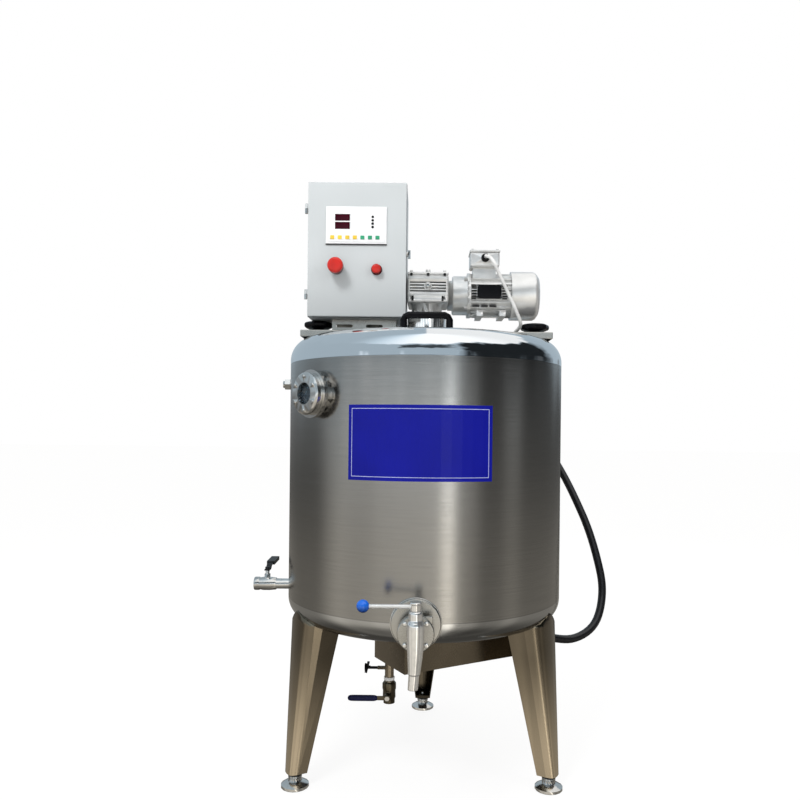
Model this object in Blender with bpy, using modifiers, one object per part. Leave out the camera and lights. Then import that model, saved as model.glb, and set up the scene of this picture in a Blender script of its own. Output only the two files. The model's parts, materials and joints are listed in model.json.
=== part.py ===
"""Milk sterilizer: a heated 200 litre batch tank with an agitator drive and a control box on its bridge."""
import math

import bmesh
import bpy
import numpy as np
from mathutils import Euler, Matrix, Vector

# All sizes are in metres. The tank stands on the Z axis and its front is -Y.
CLEARANCE = 0.0003
ROUND = 16
FINE = 48

# Tank walls
TANK_RADIUS = 0.350
SKIN = 0.002
TANK_BOTTOM = 0.382
TANK_TOP = 1.088
KNUCKLE = 0.050
SHOULDER = 0.058
MOUTH_SHELF = 0.041
WOOL_THICK = 0.024
JACKET_WALL = 0.002
JACKET_DROP = 0.088
WOOL_UNDER = 0.018
WATER_SPACE = 0.0165
VESSEL_WALL = 0.0025
WATER_UNDER = 0.028
VESSEL_CORNER = 0.020

# Blue front panel
PANEL_FROM = math.radians(-29.1)
PANEL_TO = math.radians(24.9)
PANEL_DROP = 0.176
PANEL_TALL = 0.167
PANEL_THICK = 0.0012

# Legs and feet
LEG_ANGLES = {"front_left": -60.0, "front_right": 60.0, "rear": 180.0}
LEG_WALL = 0.0025
LEG_PROUD = 0.0010
LEG_FLARE = 0.022
LEG_TOP_WIDTH = 0.138
LEG_TOP_DEPTH = 0.085
LEG_LOW_WIDTH = 0.044
LEG_LOW_DEPTH = 0.044
LEG_LOW = 0.035
LEG_WEB = 0.008
ARCH_HEIGHT = 0.026
ARCH_DROP = 0.012
FOOT_RADIUS = 0.0335
FOOT_RIM = 0.009
FOOT_COLLAR = 0.0165
STUD_RADIUS = 0.006

# Bridge beam, lids and hand knobs
BEAM_SHORT = 0.033
BEAM_FRONT = -0.092
BEAM_REAR = 0.075
BEAM_HEIGHT = 0.017
BEAM_WALL = 0.003
LID_LAP = 0.013
LID_WALL = 0.002
LID_RISE = 0.010
LID_FRONT_EDGE = -0.109
HINGE_Y = -0.103
HINGE_RISE = 0.0095
HINGE_PIN = 0.003
HINGE_TUBE = 0.0055
HINGE_HALF = 0.085
HANDLE_INSET = 0.042
HANDLE_HALF = 0.0535
HANDLE_BAR = 0.0085
HANDLE_HIGH = 0.040
KNOB_INSET = 0.0333
KNOB_RADIUS = 0.0385
KNOB_NECK = 0.016
KNOB_NECK_HIGH = 0.006
KNOB_DISC = 0.025
KNOB_STUD = 0.005
PROBE_X = 0.060
PROBE_INSET = 0.047
PROBE_RADIUS = 0.004
PROBE_LONG = 0.388

# Drive
NECK_RADIUS = 0.0500
NECK_WALL = 0.003
NECK_HIGH = 0.051
NECK_FLANGE = 0.006
NECK_FLANGE_RADIUS = 0.0520
GEAR_LEFT = -0.0500
GEAR_RIGHT = 0.0550
GEAR_FRONT = -0.060
GEAR_REAR = 0.080
GEAR_FLANGE_RADIUS = 0.0395
GEAR_FLANGE_HIGH = 0.0262
GEAR_HIGH = 0.0772
GEAR_COVER = 0.0080
GEAR_CAVITY = 0.043
GEAR_FLOOR = 0.010
WORM_Y = 0.050
WORM_RADIUS = 0.0105
WORM_RISE = 0.035
WHEEL_RADIUS = 0.0385
WHEEL_WIDTH = 0.030
HUB_RADIUS = 0.020
SHAFT_RADIUS = 0.0125
SHAFT_OVER_FLOOR = 0.042
PADDLE_OVER_FLOOR = 0.092
PADDLE_GAP = 0.073
PADDLE_WIDTH = 0.075
PADDLE_THICK = 0.004
PADDLE_PITCH = math.radians(40)
PADDLE_HUB = 0.026
PADDLE_HUB_HIGH = 0.050
MOTOR_DRUM = 0.052
DRUM_LENGTH = 0.0397
DRUM_NOSE = 0.012
RING_RADIUS = 0.060
RING_LENGTH = 0.0088
BODY_LENGTH = 0.1065
BODY_RADIUS = 0.052
FIN_RADIUS = 0.0585
FINS = 22
ROTOR_RADIUS = 0.030
ROTOR_SHAFT = 0.007
COWL_RADIUS = 0.0648
COWL_WALL = 0.002
COWL_LENGTH = 0.0746
COWL_CHAMFER = 0.014
FAN_RADIUS = 0.052
FAN_BLADES = 6
TBOX_LEFT = 0.1131
TBOX_RIGHT = 0.1897
TBOX_FRONT = -0.006
TBOX_REAR = 0.064
TBOX_OVER_WORM = 0.0692
TBOX_TALL = 0.0367
TBOX_COVER = 0.006
GLAND_ALONG = 0.0387
GLAND_RISE = 0.0207
CABLE_RADIUS = 0.0045

# Control box
BOX_LEFT = -0.2988
BOX_RIGHT = -0.0526
BRACKET_TALL = 0.0328
BOX_TALL = 0.3355
BOX_FRONT = -0.100
BOX_REAR = 0.070
BOX_WALL = 0.0015
DOOR_DEPTH = 0.014
DOOR_HINGE_OUT = 0.0047
DOOR_HINGE_IN = 0.0070
DOOR_BARREL = 0.0040
DOOR_PIN = 0.0018
HINGE_FROM_TOP = 0.0659
HINGE_FROM_BOTTOM = 0.0551
KNUCKLE_HIGH = 0.012
LOCK_RISE = 0.1574
SCREEN_ALONG = 0.1211
SCREEN_DROP = 0.1082
SCREEN_WIDE = 0.142
SCREEN_HIGH = 0.0834
BEZEL = 0.005
STOP_ALONG = 0.0735
STOP_UNDER_SCREEN = 0.1072
STOP_RADIUS = 0.0195
BUTTON_ALONG = 0.0735
BUTTON_UNDER_SCREEN = 0.1101
BUTTON_RADIUS = 0.0115
PUSH_BARREL = 0.011
LOCK_STEM = 0.003
GLANDS_RISE = 0.0469
CONDUIT_X = -0.205
CABLE_X = -0.105
GLAND_OUT = 0.024
BRACKET_KNOB_GAP = 0.0027
BRACKET_NECK_GAP = 0.026
BRACKET_FRONT = -0.045
BRACKET_REAR = 0.055
SLOT_INSET = 0.010
SLOT_PITCH = 0.077
SLOT_LENGTH = 0.043
SLOT_HIGH = 0.008

# Fittings on the wall: turn from the front towards the right, height, hole radius
SIGHT_TURN = math.radians(-45)
SIGHT_DROP = 0.151
SIGHT_BORE = 0.025
SIGHT_TUBE = 0.029
SIGHT_FLANGE = 0.0555
SIGHT_RING = 0.0485
SIGHT_PLATE = 0.010
SIGHT_GLASS = 0.006
SIGHT_GLASS_RADIUS = 0.033
SIDE_TURN = math.radians(-90)
OVERFLOW_DROP = 0.116
OVERFLOW_PIPE = 0.009
INLET_RISE = 0.067
INLET_PIPE = 0.0135
INLET_BODY = 0.0175
INLET_OUT = 0.0943
INLET_STEM_BACK = 0.0333
OUTLET_X = -0.0163
OUTLET_RISE = 0.055
OUTLET_PIPE = 0.019
PAD_RADIUS = 0.055
OUTLET_OUT = 0.080
LEVER_REACH = 0.109
SPOUT_DROP = 0.116
FLANGE_DROP = 0.011
BALL_RADIUS = 0.0137

# Under the tank
HEATER_X = -0.0422
HEATER_BACK = 0.098
HEATER_TURN = math.radians(29.9)
HEATER_SHORT = 0.040
HEATER_DRAIN_ROOM = 0.194
HEATER_HIGH = 0.088
HEATER_WALL = 0.0015
HEATER_STEM = 0.017
DRAIN_X = -0.086
DRAIN_Y = -0.050
DRAIN_PIPE = 0.0115
DRAIN_LONG = 0.170
DRAIN_VALVE_HIGH = 0.054
DRAIN_BODY = 0.0175
PETCOCK_RISE = 0.0346
DRAIN_LEVER_DROP = 0.034
HEATER_GLAND_DROP = 0.042
CONDUIT_RADIUS = 0.011

LOOKS = {
    "brushed": ((0.47, 0.46, 0.43), 0.32, 1.0),
    "mirror": ((0.80, 0.82, 0.84), 0.06, 1.0),
    "leg_steel": ((0.36, 0.33, 0.29), 0.30, 1.0),
    "chrome": ((0.78, 0.78, 0.77), 0.12, 1.0),
    "cast": ((0.58, 0.58, 0.56), 0.42, 0.6),
    "box_paint": ((0.66, 0.74, 0.77), 0.40, 0.0),
    "black": ((0.012, 0.012, 0.014), 0.30, 0.0),
    "rubber": ((0.010, 0.010, 0.011), 0.50, 0.0),
    "blue_panel": ((0.010, 0.014, 0.34), 0.25, 0.0),
    "blue_ball": ((0.02, 0.11, 0.72), 0.15, 0.0),
    "navy": ((0.008, 0.010, 0.05), 0.40, 0.0),
    "red": ((0.75, 0.035, 0.020), 0.35, 0.0),
    "wool": ((0.72, 0.66, 0.42), 0.95, 0.0),
    "white": ((0.85, 0.85, 0.83), 0.45, 0.0),
    "glass": ((0.10, 0.16, 0.20), 0.05, 0.0),
    "bronze": ((0.55, 0.36, 0.14), 0.35, 1.0),
}

# Radii and places in the tank that follow from the sizes above
JACKET_RADIUS = TANK_RADIUS - SKIN - WOOL_THICK - JACKET_WALL
VESSEL_RADIUS = JACKET_RADIUS - WATER_SPACE - VESSEL_WALL
MOUTH_RADIUS = VESSEL_RADIUS - MOUTH_SHELF
LID_RADIUS = MOUTH_RADIUS + LID_LAP
BEAM_HALF = TANK_RADIUS - BEAM_SHORT
KNOB_X = BEAM_HALF - KNOB_INSET
HANDLE_Y = HANDLE_INSET - MOUTH_RADIUS
PROBE_Y = MOUTH_RADIUS - PROBE_INSET
PADDLE_SPAN = VESSEL_RADIUS - PADDLE_GAP
JACKET_TOP = TANK_TOP - JACKET_DROP
JACKET_FLOOR = TANK_BOTTOM + WOOL_UNDER
VESSEL_FLOOR = JACKET_FLOOR + WATER_UNDER
PANEL_HIGH = TANK_TOP - PANEL_DROP
PANEL_LOW = PANEL_HIGH - PANEL_TALL
PROBE_END = TANK_TOP - PROBE_LONG
SHAFT_END = VESSEL_FLOOR + SHAFT_OVER_FLOOR
PADDLE_Z = VESSEL_FLOOR + PADDLE_OVER_FLOOR
SIGHT_Z = TANK_TOP - SIGHT_DROP
OVERFLOW_Z = TANK_TOP - OVERFLOW_DROP
INLET_Z = TANK_BOTTOM + INLET_RISE
INLET_END = TANK_RADIUS + INLET_OUT
INLET_STEM = INLET_END - INLET_STEM_BACK
OUTLET_Z = TANK_BOTTOM + OUTLET_RISE
OUTLET_AXIS = TANK_RADIUS + OUTLET_OUT
SPOUT_END = OUTLET_Z - SPOUT_DROP
HEATER_NEAR = Vector((HEATER_X, HEATER_BACK - TANK_RADIUS))
HEATER_LONG = TANK_RADIUS - HEATER_SHORT
HEATER_WIDE = TANK_RADIUS - HEATER_DRAIN_ROOM
DRAIN_VALVE_TOP = TANK_BOTTOM - DRAIN_LONG
PETCOCK_Z = DRAIN_VALVE_TOP + PETCOCK_RISE
DRAIN_LEVER_Z = DRAIN_VALVE_TOP - DRAIN_LEVER_DROP
HEATER_GLAND_Z = TANK_BOTTOM - HEATER_GLAND_DROP

# Heights and places on the bridge that follow from them
BEAM_LOW = TANK_TOP + CLEARANCE
BEAM_TOP = BEAM_LOW + BEAM_HEIGHT
NECK_LOW = BEAM_TOP + CLEARANCE
NECK_TOP = NECK_LOW + NECK_HIGH
GEAR_LOW = NECK_TOP + CLEARANCE
GEAR_BASE = GEAR_LOW + GEAR_FLANGE_HIGH
GEAR_TOP = GEAR_BASE + GEAR_HIGH
WORM_Z = GEAR_BASE + WORM_RISE
DRUM_START = GEAR_RIGHT + CLEARANCE
RING_START = DRUM_START + DRUM_NOSE + DRUM_LENGTH
BODY_START = RING_START + RING_LENGTH + CLEARANCE
COWL_START = BODY_START + BODY_LENGTH + CLEARANCE
TBOX_LOW = WORM_Z + TBOX_OVER_WORM
TBOX_HIGH = TBOX_LOW + TBOX_TALL
GLAND_Z = TBOX_LOW + GLAND_RISE
GLAND_X = TBOX_LEFT + GLAND_ALONG
BOX_LOW = BEAM_TOP + BRACKET_TALL
BOX_HIGH = BOX_LOW + BOX_TALL
LOCK_Z = BOX_LOW + LOCK_RISE
PANEL_Z = BOX_HIGH - SCREEN_DROP
PANEL_X = BOX_LEFT + SCREEN_ALONG
STOP_X = BOX_LEFT + STOP_ALONG
STOP_Z = PANEL_Z - STOP_UNDER_SCREEN
BUTTON_X = BOX_RIGHT - BUTTON_ALONG
BUTTON_Z = PANEL_Z - BUTTON_UNDER_SCREEN
GLANDS_Z = BOX_LOW + GLANDS_RISE
HINGE_HEIGHTS = {"upper": BOX_HIGH - HINGE_FROM_TOP, "lower": BOX_LOW + HINGE_FROM_BOTTOM}
BRACKET_LEFT = KNOB_RADIUS + BRACKET_KNOB_GAP - KNOB_X
BRACKET_RIGHT = -(NECK_FLANGE_RADIUS + BRACKET_NECK_GAP)
SLOTS = int((BRACKET_RIGHT - BRACKET_LEFT - SLOT_INSET) / SLOT_PITCH)
SLOT_CENTRES = [BRACKET_LEFT + SLOT_INSET + SLOT_LENGTH / 2 + SLOT_PITCH * i for i in range(SLOTS)]
DOOR_REAR = BOX_FRONT + DOOR_DEPTH
DOOR_AXIS_X = BOX_LEFT - DOOR_HINGE_OUT
DOOR_AXIS_Y = BOX_FRONT + DOOR_HINGE_IN
HINGE_Z = BEAM_LOW + HINGE_RISE


def clear_scene():
    for obj in list(bpy.data.objects):
        bpy.data.objects.remove(obj, do_unlink=True)


def make_collection(name):
    group = bpy.data.collections.new(name)
    bpy.context.scene.collection.children.link(group)
    return group


clear_scene()
PARTS = make_collection("milk_sterilizer")
TOOLS = make_collection("tools")
STAND = bpy.data.objects.new("stand", None)
PARTS.objects.link(STAND)


def surface(name, look):
    """A plain material with the piece's colour, roughness and metallic value."""
    colour, rough, metal = LOOKS[look]
    mat = bpy.data.materials.new(name)
    mat.use_nodes = True
    shader = mat.node_tree.nodes["Principled BSDF"]
    shader.inputs["Base Color"].default_value = (*colour, 1.0)
    shader.inputs["Roughness"].default_value = rough
    shader.inputs["Metallic"].default_value = metal
    return mat


def put(name, bm, look=None, place=(0, 0, 0), turn=(0, 0, 0), smooth=False):
    """Make an object from a bmesh; with a look it is a piece, without one it is a tool for a Boolean."""
    mesh = bpy.data.meshes.new(name)
    bm.to_mesh(mesh)
    bm.free()
    obj = bpy.data.objects.new(name, mesh)
    if look:
        PARTS.objects.link(obj)
        mesh.materials.append(surface(name, look))
    else:
        TOOLS.objects.link(obj)
        obj.hide_render = True
        obj.display_type = "WIRE"
    if smooth:
        mesh.polygons.foreach_set("use_smooth", [True] * len(mesh.polygons))
    obj.location = place
    obj.rotation_euler = turn
    obj.parent = STAND
    return obj


def turned(name, profile, look=None, place=(0, 0, 0), turn=(0, 0, 0), steps=ROUND):
    """Turn a profile of (radius, height) points around local Z. It runs down its outer side."""
    bm = bmesh.new()
    verts = [bm.verts.new((r, 0, z)) for r, z in profile]
    for a, b in zip(verts, verts[1:] + verts[:1]):
        if a.co.x > 0 or b.co.x > 0:
            bm.edges.new((a, b))
    obj = put(name, bm, look, place, turn)
    screw = obj.modifiers.new("turn", "SCREW")
    screw.axis = "Z"
    screw.angle = math.tau
    screw.steps = steps
    screw.render_steps = steps
    screw.use_merge_vertices = True
    screw.merge_threshold = 0.00005
    screw.use_smooth_shade = True
    return obj


def cylinder(radius, top, bottom, chamfer=0.0):
    """Profile of a solid round bar with chamfered ends."""
    inner = radius - chamfer
    if not chamfer:
        return [(0, top), (radius, top), (radius, bottom), (0, bottom)]
    low = bottom + chamfer
    return [(0, top), (inner, top), (radius, top - chamfer), (radius, low), (inner, bottom), (0, bottom)]


def tube(outer, inner, top, bottom):
    """Profile of a plain ring."""
    return [(inner, top), (outer, top), (outer, bottom), (inner, bottom)]


def arc(radius, centre, start, end, count):
    """Points on a quarter or other arc in the profile plane; angles in degrees from +X."""
    angles = np.radians(np.linspace(start, end, count))
    return [(centre[0] + radius * math.cos(a), centre[1] + radius * math.sin(a)) for a in angles]


def add_box(bm, size, centre, turn=None):
    """Add a block to a bmesh."""
    rotation = Euler(turn).to_matrix().to_4x4() if turn else Matrix.Identity(4)
    matrix = Matrix.Translation(centre) @ rotation @ Matrix.Diagonal((*size, 1))
    bmesh.ops.create_cube(bm, size=1, matrix=matrix)


def add_span(bm, low, high):
    """Add a block between two opposite corners."""
    low, high = Vector(low), Vector(high)
    add_box(bm, high - low, (low + high) / 2)


def add_rod(bm, radius, length, centre, axis="Z", segments=16, end=None):
    """Add a round bar, or a cone where the end radius differs."""
    turns = {"X": (0, math.pi / 2, 0), "Y": (-math.pi / 2, 0, 0), "Z": (0, 0, 0)}
    spin = Euler(turns[axis]) if isinstance(axis, str) else Vector((0, 0, 1)).rotation_difference(axis)
    rotation = spin.to_matrix().to_4x4()
    matrix = Matrix.Translation(centre) @ rotation
    last = radius if end is None else end
    bmesh.ops.create_cone(bm, cap_ends=True, segments=segments, radius1=radius, radius2=last, depth=length,
                          matrix=matrix)


def block(name, low, high, look=None, bevel=0.0, segments=2):
    """A block between two corners, with rounded edges where a bevel is given."""
    bm = bmesh.new()
    add_span(bm, low, high)
    obj = put(name, bm, look)
    if bevel:
        rounding = obj.modifiers.new("round", "BEVEL")
        rounding.width = bevel
        rounding.segments = segments
        rounding.limit_method = "ANGLE"
    return obj


def prism(name, outline, depth, look=None, place=(0, 0, 0), turn=(0, 0, 0)):
    """Extrude an outline in local XY by a depth along local Z, centred on it."""
    bm = bmesh.new()
    face = bm.faces.new([bm.verts.new((x, y, -depth / 2)) for x, y in outline])
    made = bmesh.ops.extrude_face_region(bm, geom=[face])
    moved = [v for v in made["geom"] if isinstance(v, bmesh.types.BMVert)]
    bmesh.ops.translate(bm, vec=(0, 0, depth), verts=moved)
    bmesh.ops.recalc_face_normals(bm, faces=bm.faces)
    return put(name, bm, look, place, turn)


def boolean(obj, tool, operation):
    step = obj.modifiers.new(operation.lower() + "_" + tool.name, "BOOLEAN")
    step.operation = operation
    step.object = tool
    step.solver = "EXACT"


def cut(obj, *tools):
    for tool in tools:
        boolean(obj, tool, "DIFFERENCE")


def fuse(obj, *tools):
    for tool in tools:
        boolean(obj, tool, "UNION")


def tool_of(name, *shapes):
    """One Boolean tool from several separate shapes; each shape is (function, arguments)."""
    bm = bmesh.new()
    for function, arguments in shapes:
        function(bm, **arguments)
    return put(name, bm)


def rod(radius, length, centre, axis="Z", segments=16, end=None):
    return add_rod, {"radius": radius, "length": length, "centre": centre, "axis": axis, "segments": segments,
                     "end": end}


def bar(low, high):
    return add_span, {"low": low, "high": high}


def brick(size, centre, turn=None):
    return add_box, {"size": size, "centre": centre, "turn": turn}


def ring_of(count, radius, start=0.0):
    """Places evenly spread on a circle in the XY plane."""
    angles = [math.radians(start) + math.tau * i / count for i in range(count)]
    return [(radius * math.cos(a), radius * math.sin(a)) for a in angles]


def outward(turn):
    """Direction away from the tank's axis, turned from the front towards the right."""
    return Vector((math.sin(turn), -math.cos(turn), 0))


def facing(turn):
    """Rotation that brings local Z to the outward direction of a wall fitting."""
    return (math.pi / 2, 0, turn)


# Tank
def skin_profile():
    low = arc(KNUCKLE, (TANK_RADIUS - KNUCKLE, TANK_BOTTOM + KNUCKLE), 0, -90, 5)
    high = arc(SHOULDER, (TANK_RADIUS - SHOULDER, TANK_TOP - SHOULDER), 90, 0, 6)
    low_in = arc(KNUCKLE - SKIN, (TANK_RADIUS - KNUCKLE, TANK_BOTTOM + KNUCKLE), -90, 0, 4)
    high_in = arc(SHOULDER - SKIN, (TANK_RADIUS - SHOULDER, TANK_TOP - SHOULDER), 0, 90, 4)
    outside = [(MOUTH_RADIUS, TANK_TOP), *high, *low, (0, TANK_BOTTOM)]
    inside = [(0, TANK_BOTTOM + SKIN), *low_in, *high_in, (MOUTH_RADIUS, TANK_TOP - SKIN)]
    return outside + inside


def build_tank():
    holes = [
        rod(SIGHT_TUBE + 2 * CLEARANCE, 0.12, outward(SIGHT_TURN) * (TANK_RADIUS - 0.02) + Vector((0, 0, SIGHT_Z)),
            outward(SIGHT_TURN), 24),
        rod(OUTLET_PIPE + 2 * CLEARANCE, 0.12, (OUTLET_X, 0.02 - TANK_RADIUS, OUTLET_Z), "Y", 24),
    ]
    side = [
        rod(OVERFLOW_PIPE + 2 * CLEARANCE, 0.12, (0.005 - TANK_RADIUS, 0, OVERFLOW_Z), "X", 16),
        rod(INLET_PIPE + 2 * CLEARANCE, 0.12, (0.005 - TANK_RADIUS, 0, INLET_Z), "X", 16),
    ]
    heater = heater_frame(HEATER_LONG / 2, HEATER_WIDE / 2)
    under = [
        rod(DRAIN_PIPE + 2 * CLEARANCE, 0.06, (DRAIN_X, DRAIN_Y, TANK_BOTTOM + 0.010), "Z", 16),
        rod(HEATER_STEM + 2 * CLEARANCE, 0.06, (heater.x, heater.y, TANK_BOTTOM + 0.010), "Z", 16),
    ]
    openings = tool_of("wall_openings", *holes, *side, *under)
    vessel_openings = tool_of("vessel_openings", *holes)
    skin = turned("outer_shell", skin_profile(), "brushed", steps=FINE)
    cut(skin, openings)
    wool_in = JACKET_RADIUS + JACKET_WALL + CLEARANCE
    wool_out = TANK_RADIUS - SKIN - CLEARANCE
    wool_low = TANK_BOTTOM + SKIN + CLEARANCE
    wool_corner = arc(KNUCKLE - SKIN - CLEARANCE, (TANK_RADIUS - KNUCKLE, TANK_BOTTOM + KNUCKLE), 0, -90, 4)
    wool_top = TANK_TOP - SHOULDER - CLEARANCE
    wool = turned("insulation", [
        (wool_in, wool_top), (wool_out, wool_top), *wool_corner, (0, wool_low),
        (0, JACKET_FLOOR - CLEARANCE), (wool_in, JACKET_FLOOR - CLEARANCE)], "wool", steps=FINE)
    cut(wool, openings)
    outer = JACKET_RADIUS + JACKET_WALL
    neck = VESSEL_RADIUS + VESSEL_WALL + CLEARANCE
    jacket = turned("water_jacket", [
        (neck, JACKET_TOP), (outer, JACKET_TOP), (outer, JACKET_FLOOR), (0, JACKET_FLOOR),
        (0, JACKET_FLOOR + JACKET_WALL), (JACKET_RADIUS, JACKET_FLOOR + JACKET_WALL),
        (JACKET_RADIUS, JACKET_TOP - JACKET_WALL), (neck, JACKET_TOP - JACKET_WALL)], "brushed", steps=FINE)
    cut(jacket, openings)
    out = VESSEL_RADIUS + VESSEL_WALL
    across = out - TANK_RADIUS + SHOULDER
    under_shoulder = math.sqrt((SHOULDER - SKIN) ** 2 - across ** 2)
    facet = (SHOULDER - SKIN) * (1 - math.cos(math.radians(15)))
    vessel_top = TANK_TOP - SHOULDER + under_shoulder - facet - 2 * CLEARANCE
    corner = (VESSEL_RADIUS - VESSEL_CORNER, VESSEL_FLOOR + VESSEL_CORNER)
    vessel = turned("inner_vessel", [
        (VESSEL_RADIUS, vessel_top), (out, vessel_top),
        *arc(VESSEL_CORNER + VESSEL_WALL, corner, 0, -90, 4), (0, VESSEL_FLOOR - VESSEL_WALL),
        (0, VESSEL_FLOOR), *arc(VESSEL_CORNER, corner, -90, 0, 4)], "brushed", steps=FINE)
    cut(vessel, vessel_openings)
    panel = curved_plate("blue_panel", TANK_RADIUS + CLEARANCE, PANEL_THICK, (PANEL_FROM, PANEL_TO),
                         (PANEL_LOW, PANEL_HIGH), 14)
    return skin, panel


def curved_plate(name, radius, thick, turns, heights, count):
    """A thin plate that follows the tank's wall between two turns from the front."""
    bm = bmesh.new()
    columns = []
    for turn in np.linspace(turns[0], turns[1], count + 1):
        out = outward(turn)
        corners = [(radius, heights[0]), (radius + thick, heights[0]), (radius + thick, heights[1]),
                   (radius, heights[1])]
        columns.append([bm.verts.new(out * r + Vector((0, 0, z))) for r, z in corners])
    for a, b in zip(columns, columns[1:]):
        for i in range(4):
            j = (i + 1) % 4
            bm.faces.new((a[i], b[i], b[j], a[j]))
    bm.faces.new(columns[0])
    bm.faces.new(columns[-1][::-1])
    bmesh.ops.recalc_face_normals(bm, faces=bm.faces)
    return put(name, bm, "blue_panel", smooth=True)


# Legs and feet
def leg_outline(width, depth, out, count=11):
    """Rounded square section: its closed outer side faces away from the tank at distance out."""
    angles = np.linspace(0, math.pi, count)
    side = np.sign(np.cos(angles)) * np.abs(np.cos(angles)) ** 0.55 * width / 2
    along = out - depth + depth * np.sin(angles) ** 0.55
    return [(float(u), float(v)) for u, v in zip(along, side)]


def loft(name, sections, look=None):
    """Join outlines at rising heights into one closed body."""
    bm = bmesh.new()
    rings = [[bm.verts.new((u, v, z)) for u, v in outline] for z, outline in sections]
    for low, high in zip(rings, rings[1:]):
        for i in range(len(low)):
            j = (i + 1) % len(low)
            bm.faces.new((low[i], low[j], high[j], high[i]))
    bm.faces.new(rings[0][::-1])
    bm.faces.new(rings[-1])
    bmesh.ops.recalc_face_normals(bm, faces=bm.faces)
    return put(name, bm, look)


def leg_section(z, shrink=0.0, reach=0.0):
    """Width, depth and outer distance of a leg at a height, less the sheet's thickness for its hollow."""
    start, end = LEG_LOW, TANK_BOTTOM + ARCH_DROP
    share = min(max((z - start) / (end - start), 0.0), 1.0)
    width = LEG_LOW_WIDTH + (LEG_TOP_WIDTH - LEG_LOW_WIDTH) * share
    depth = LEG_LOW_DEPTH + (LEG_TOP_DEPTH - LEG_LOW_DEPTH) * share
    out = TANK_RADIUS + LEG_PROUD + LEG_FLARE * (1 - share)
    return z, leg_outline(width - 2 * shrink, depth - shrink + reach, out - shrink)


def tank_gauge(name):
    """The tank's lower body, a clearance larger; what stands against the tank is trimmed with it."""
    big = TANK_RADIUS + CLEARANCE
    centre = (TANK_RADIUS - KNUCKLE, TANK_BOTTOM + KNUCKLE)
    low = arc(KNUCKLE + CLEARANCE, centre, 0, -90, 5)
    return turned(name, [(0, TANK_TOP - SHOULDER), (big, TANK_TOP - SHOULDER), *low, (0, TANK_BOTTOM - CLEARANCE)],
                  steps=FINE)


def build_legs(gauge):
    base = TANK_BOTTOM + ARCH_DROP
    for key, angle in LEG_ANGLES.items():
        sections = [leg_section(LEG_LOW), leg_section(base)]
        for rise, share in ((0.35, 0.80), (0.65, 0.55), (0.87, 0.28), (1.0, 0.04)):
            out = TANK_RADIUS + LEG_PROUD
            outline = leg_outline(LEG_TOP_WIDTH * share, LEG_TOP_DEPTH, out)
            sections.append((base + ARCH_HEIGHT * rise, outline))
        leg = loft("leg_" + key, sections, "leg_steel")
        hollow = loft("leg_hollow_" + key, [leg_section(z, LEG_WALL, 0.03)
                                            for z in (LEG_LOW + LEG_WEB, TANK_BOTTOM - LEG_WEB / 2)])
        spin = math.radians(angle) - math.pi / 2
        hole = tool_of("stud_hole_" + key, rod(STUD_RADIUS + CLEARANCE, 0.03, (foot_distance(), 0, LEG_LOW), "Z"))
        for obj in (leg, hollow, hole):
            obj.rotation_euler = (0, 0, spin)
        cut(leg, hollow, gauge, hole)
        build_foot(key, spin)


def foot_distance():
    return TANK_RADIUS + LEG_PROUD + LEG_FLARE - LEG_LOW_DEPTH / 2


def build_foot(key, spin):
    collar_top = LEG_LOW - CLEARANCE
    place = Euler((0, 0, spin)).to_matrix() @ Vector((foot_distance(), 0, 0))
    return turned("foot_" + key, [
        (0, LEG_LOW + LEG_WEB + 0.004), (STUD_RADIUS, LEG_LOW + LEG_WEB + 0.004), (STUD_RADIUS, collar_top),
        (FOOT_COLLAR, collar_top), (FOOT_COLLAR, collar_top - 0.011), (FOOT_COLLAR - 0.003, collar_top - 0.012),
        (FOOT_COLLAR, FOOT_RIM + 0.006), (FOOT_RADIUS - 0.008, FOOT_RIM + 0.003), (FOOT_RADIUS, FOOT_RIM - 0.002),
        (FOOT_RADIUS, 0.001), (FOOT_RADIUS - 0.001, 0), (0, 0)], "chrome", place=place)


# Bridge beam, lids and hand knobs
def build_top():
    beam = block("top_beam", (-BEAM_HALF, BEAM_FRONT, BEAM_LOW), (BEAM_HALF, BEAM_REAR, BEAM_TOP), "brushed",
                 bevel=0.002)
    room = BEAM_WALL
    under = tool_of("beam_room", bar((-BEAM_HALF + room, BEAM_FRONT + room, BEAM_LOW - 0.01),
                                     (BEAM_HALF - room, BEAM_REAR - room, BEAM_TOP - room)))
    lugs = tool_of("hinge_lugs", *[bar((side * HINGE_HALF - 0.004, HINGE_Y - 0.004, HINGE_Z - 0.005),
                                       (side * HINGE_HALF + 0.004, BEAM_FRONT + 0.002, HINGE_Z + 0.005))
                                   for side in (-1, 1)])
    pin = tool_of("hinge_pin", rod(HINGE_PIN, 2 * HINGE_HALF, (0, HINGE_Y, HINGE_Z), "X"))
    holes = tool_of("beam_holes", rod(SHAFT_RADIUS + 0.001, 0.05, (0, 0, BEAM_TOP), "Z", 24),
                    *[rod(KNOB_STUD + CLEARANCE, 0.05, (x, 0, BEAM_TOP), "Z") for x in (-KNOB_X, KNOB_X)])
    cut(beam, under)
    fuse(beam, lugs, pin)
    cut(beam, holes)
    for name, x in (("knob_left", -KNOB_X), ("knob_right", KNOB_X)):
        low = BEAM_TOP + CLEARANCE
        disc = low + KNOB_NECK_HIGH
        top = disc + KNOB_DISC
        turned(name, [
            (0, top), (KNOB_RADIUS - 0.009, top), (KNOB_RADIUS - 0.002, top - 0.004), (KNOB_RADIUS, top - 0.010),
            (KNOB_RADIUS - 0.003, disc + 0.007), (KNOB_RADIUS - 0.014, disc + 0.001), (KNOB_NECK, disc),
            (KNOB_NECK, low), (KNOB_STUD, low), (KNOB_STUD, BEAM_LOW + 0.002), (0, BEAM_LOW + 0.002)],
            "black", place=(x, 0, 0))
    build_lids()


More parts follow.
